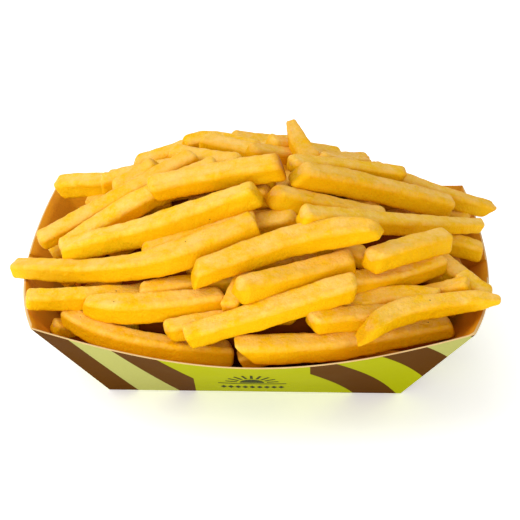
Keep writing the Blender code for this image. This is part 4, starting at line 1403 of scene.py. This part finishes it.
def build_fries(heap, material):
    """Every fry of the heap: those under it first, then those that the photograph shows."""
    for number, (path, sides) in enumerate(heap.paths()):
        shown = number - len(heap.hidden)
        burns = BURNT_ENDS.get(shown, (PLAIN_BURN, PLAIN_BURN))
        burns = tuple(max(burn, PLAIN_BURN) for burn in burns)
        shaded = SHADED_DEPTHS["shown" if shown >= 0 else "hidden"]
        cuts = (CUT_ASLANT.get(shown), CUT_SIDEWAYS.get(shown))
        form = FryForm(path, sides, LOOKS_SEED + number, burns, shaded, *cuts)
        name = f"fry_{shown:02d}" if shown >= 0 else f"fry_under_{number:02d}"
        link_piece(name, form.mesh_data(name), [material], "fries")


def build_deep_fries(heap, material):
    """The fries that cover what would show of the fill."""
    for number, (path, sides) in enumerate(lay_deep(heap)):
        burns, shaded = (PLAIN_BURN, PLAIN_BURN), SHADED_DEPTHS["hidden"]
        form = FryForm(path, sides, DEEP_LOOKS_SEED + number, burns, shaded)
        name = f"fry_deep_{number:02d}"
        link_piece(name, form.mesh_data(name), [material], "fries")


def build_floor():
    """A wide white table top, lit a little from below as a light table is."""
    data = bpy.data.meshes.new("floor")
    reach, level = FLOOR_REACH, -FLOOR_DROP
    corners = [(-reach, -reach, level), (reach, -reach, level)]
    corners += [(reach, reach, level), (-reach, reach, level)]
    data.from_pydata(corners, [], [(0, 1, 2, 3)])
    floor = bpy.data.objects.new("floor", data)
    bpy.context.collection.objects.link(floor)
    material, _, shader = new_material("floor")
    shader.inputs["Base Color"].default_value = linear(FLOOR_WHITE)
    shader.inputs["Roughness"].default_value = 0.9
    shader.inputs["Emission Color"].default_value = linear(FLOOR_WHITE)
    shader.inputs["Emission Strength"].default_value = FLOOR_GLOW
    data.materials.append(material)


def add_softbox(name, place, size, power, aim):
    """A square lamp at a place, turned to aim."""
    data = bpy.data.lights.new(name, "AREA")
    data.shape = "SQUARE"
    data.size = size
    data.energy = power
    lamp = bpy.data.objects.new(name, data)
    lamp.location = place
    lamp.rotation_euler = (Vector(aim) - Vector(place)).to_track_quat("-Z", "Y").to_euler()
    bpy.context.collection.objects.link(lamp)


def light_scene():
    """Soft studio light: a white room, a softbox close by on the left, one behind that gives
    the upper faces their sheen, and one in front that opens the shadows."""
    world = bpy.data.worlds.new("studio")
    bpy.context.scene.world = world
    world.use_nodes = True
    room = world.node_tree.nodes["Background"]
    room.inputs["Color"].default_value = (1.0, 1.0, 1.0, 1.0)
    room.inputs["Strength"].default_value = ROOM_LIGHT
    for name, (place, size, power, aim) in SOFTBOXES.items():
        add_softbox(name, place, size, power, aim)


def place_camera():
    """The photograph's own view."""
    back, right, up = Vector(VIEW_BACK), Vector(VIEW_RIGHT), Vector(VIEW_UP)
    data = bpy.data.cameras.new("camera")
    data.sensor_width = SENSOR_WIDTH
    data.lens = data.sensor_width * FOCAL / (2 * FRAME_MIDDLE)
    data.clip_start = NEAREST_SEEN
    camera = bpy.data.objects.new("camera", data)
    turned = Matrix((right, up, back)).transposed().to_4x4()
    camera.matrix_world = Matrix.Translation(Vector(VIEW_TARGET) + back * VIEW_DISTANCE) @ turned
    bpy.context.collection.objects.link(camera)
    bpy.context.scene.camera = camera


def main():
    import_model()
    scene = bpy.context.scene
    scene.view_settings.view_transform = "Standard"
    place_camera()
    build_floor()
    light_scene()
    build_tray([printed_board(), bare_board(), cut_board()])
    build_emblem(emblem_ink())
    felt = felt_tray()
    heap = Heap(felt)
    bpy.data.objects.remove(felt)
    heap.fill()
    fried = potato()
    build_core(shaded_potato())
    build_fries(heap, fried)
    build_deep_fries(heap, fried)


main()
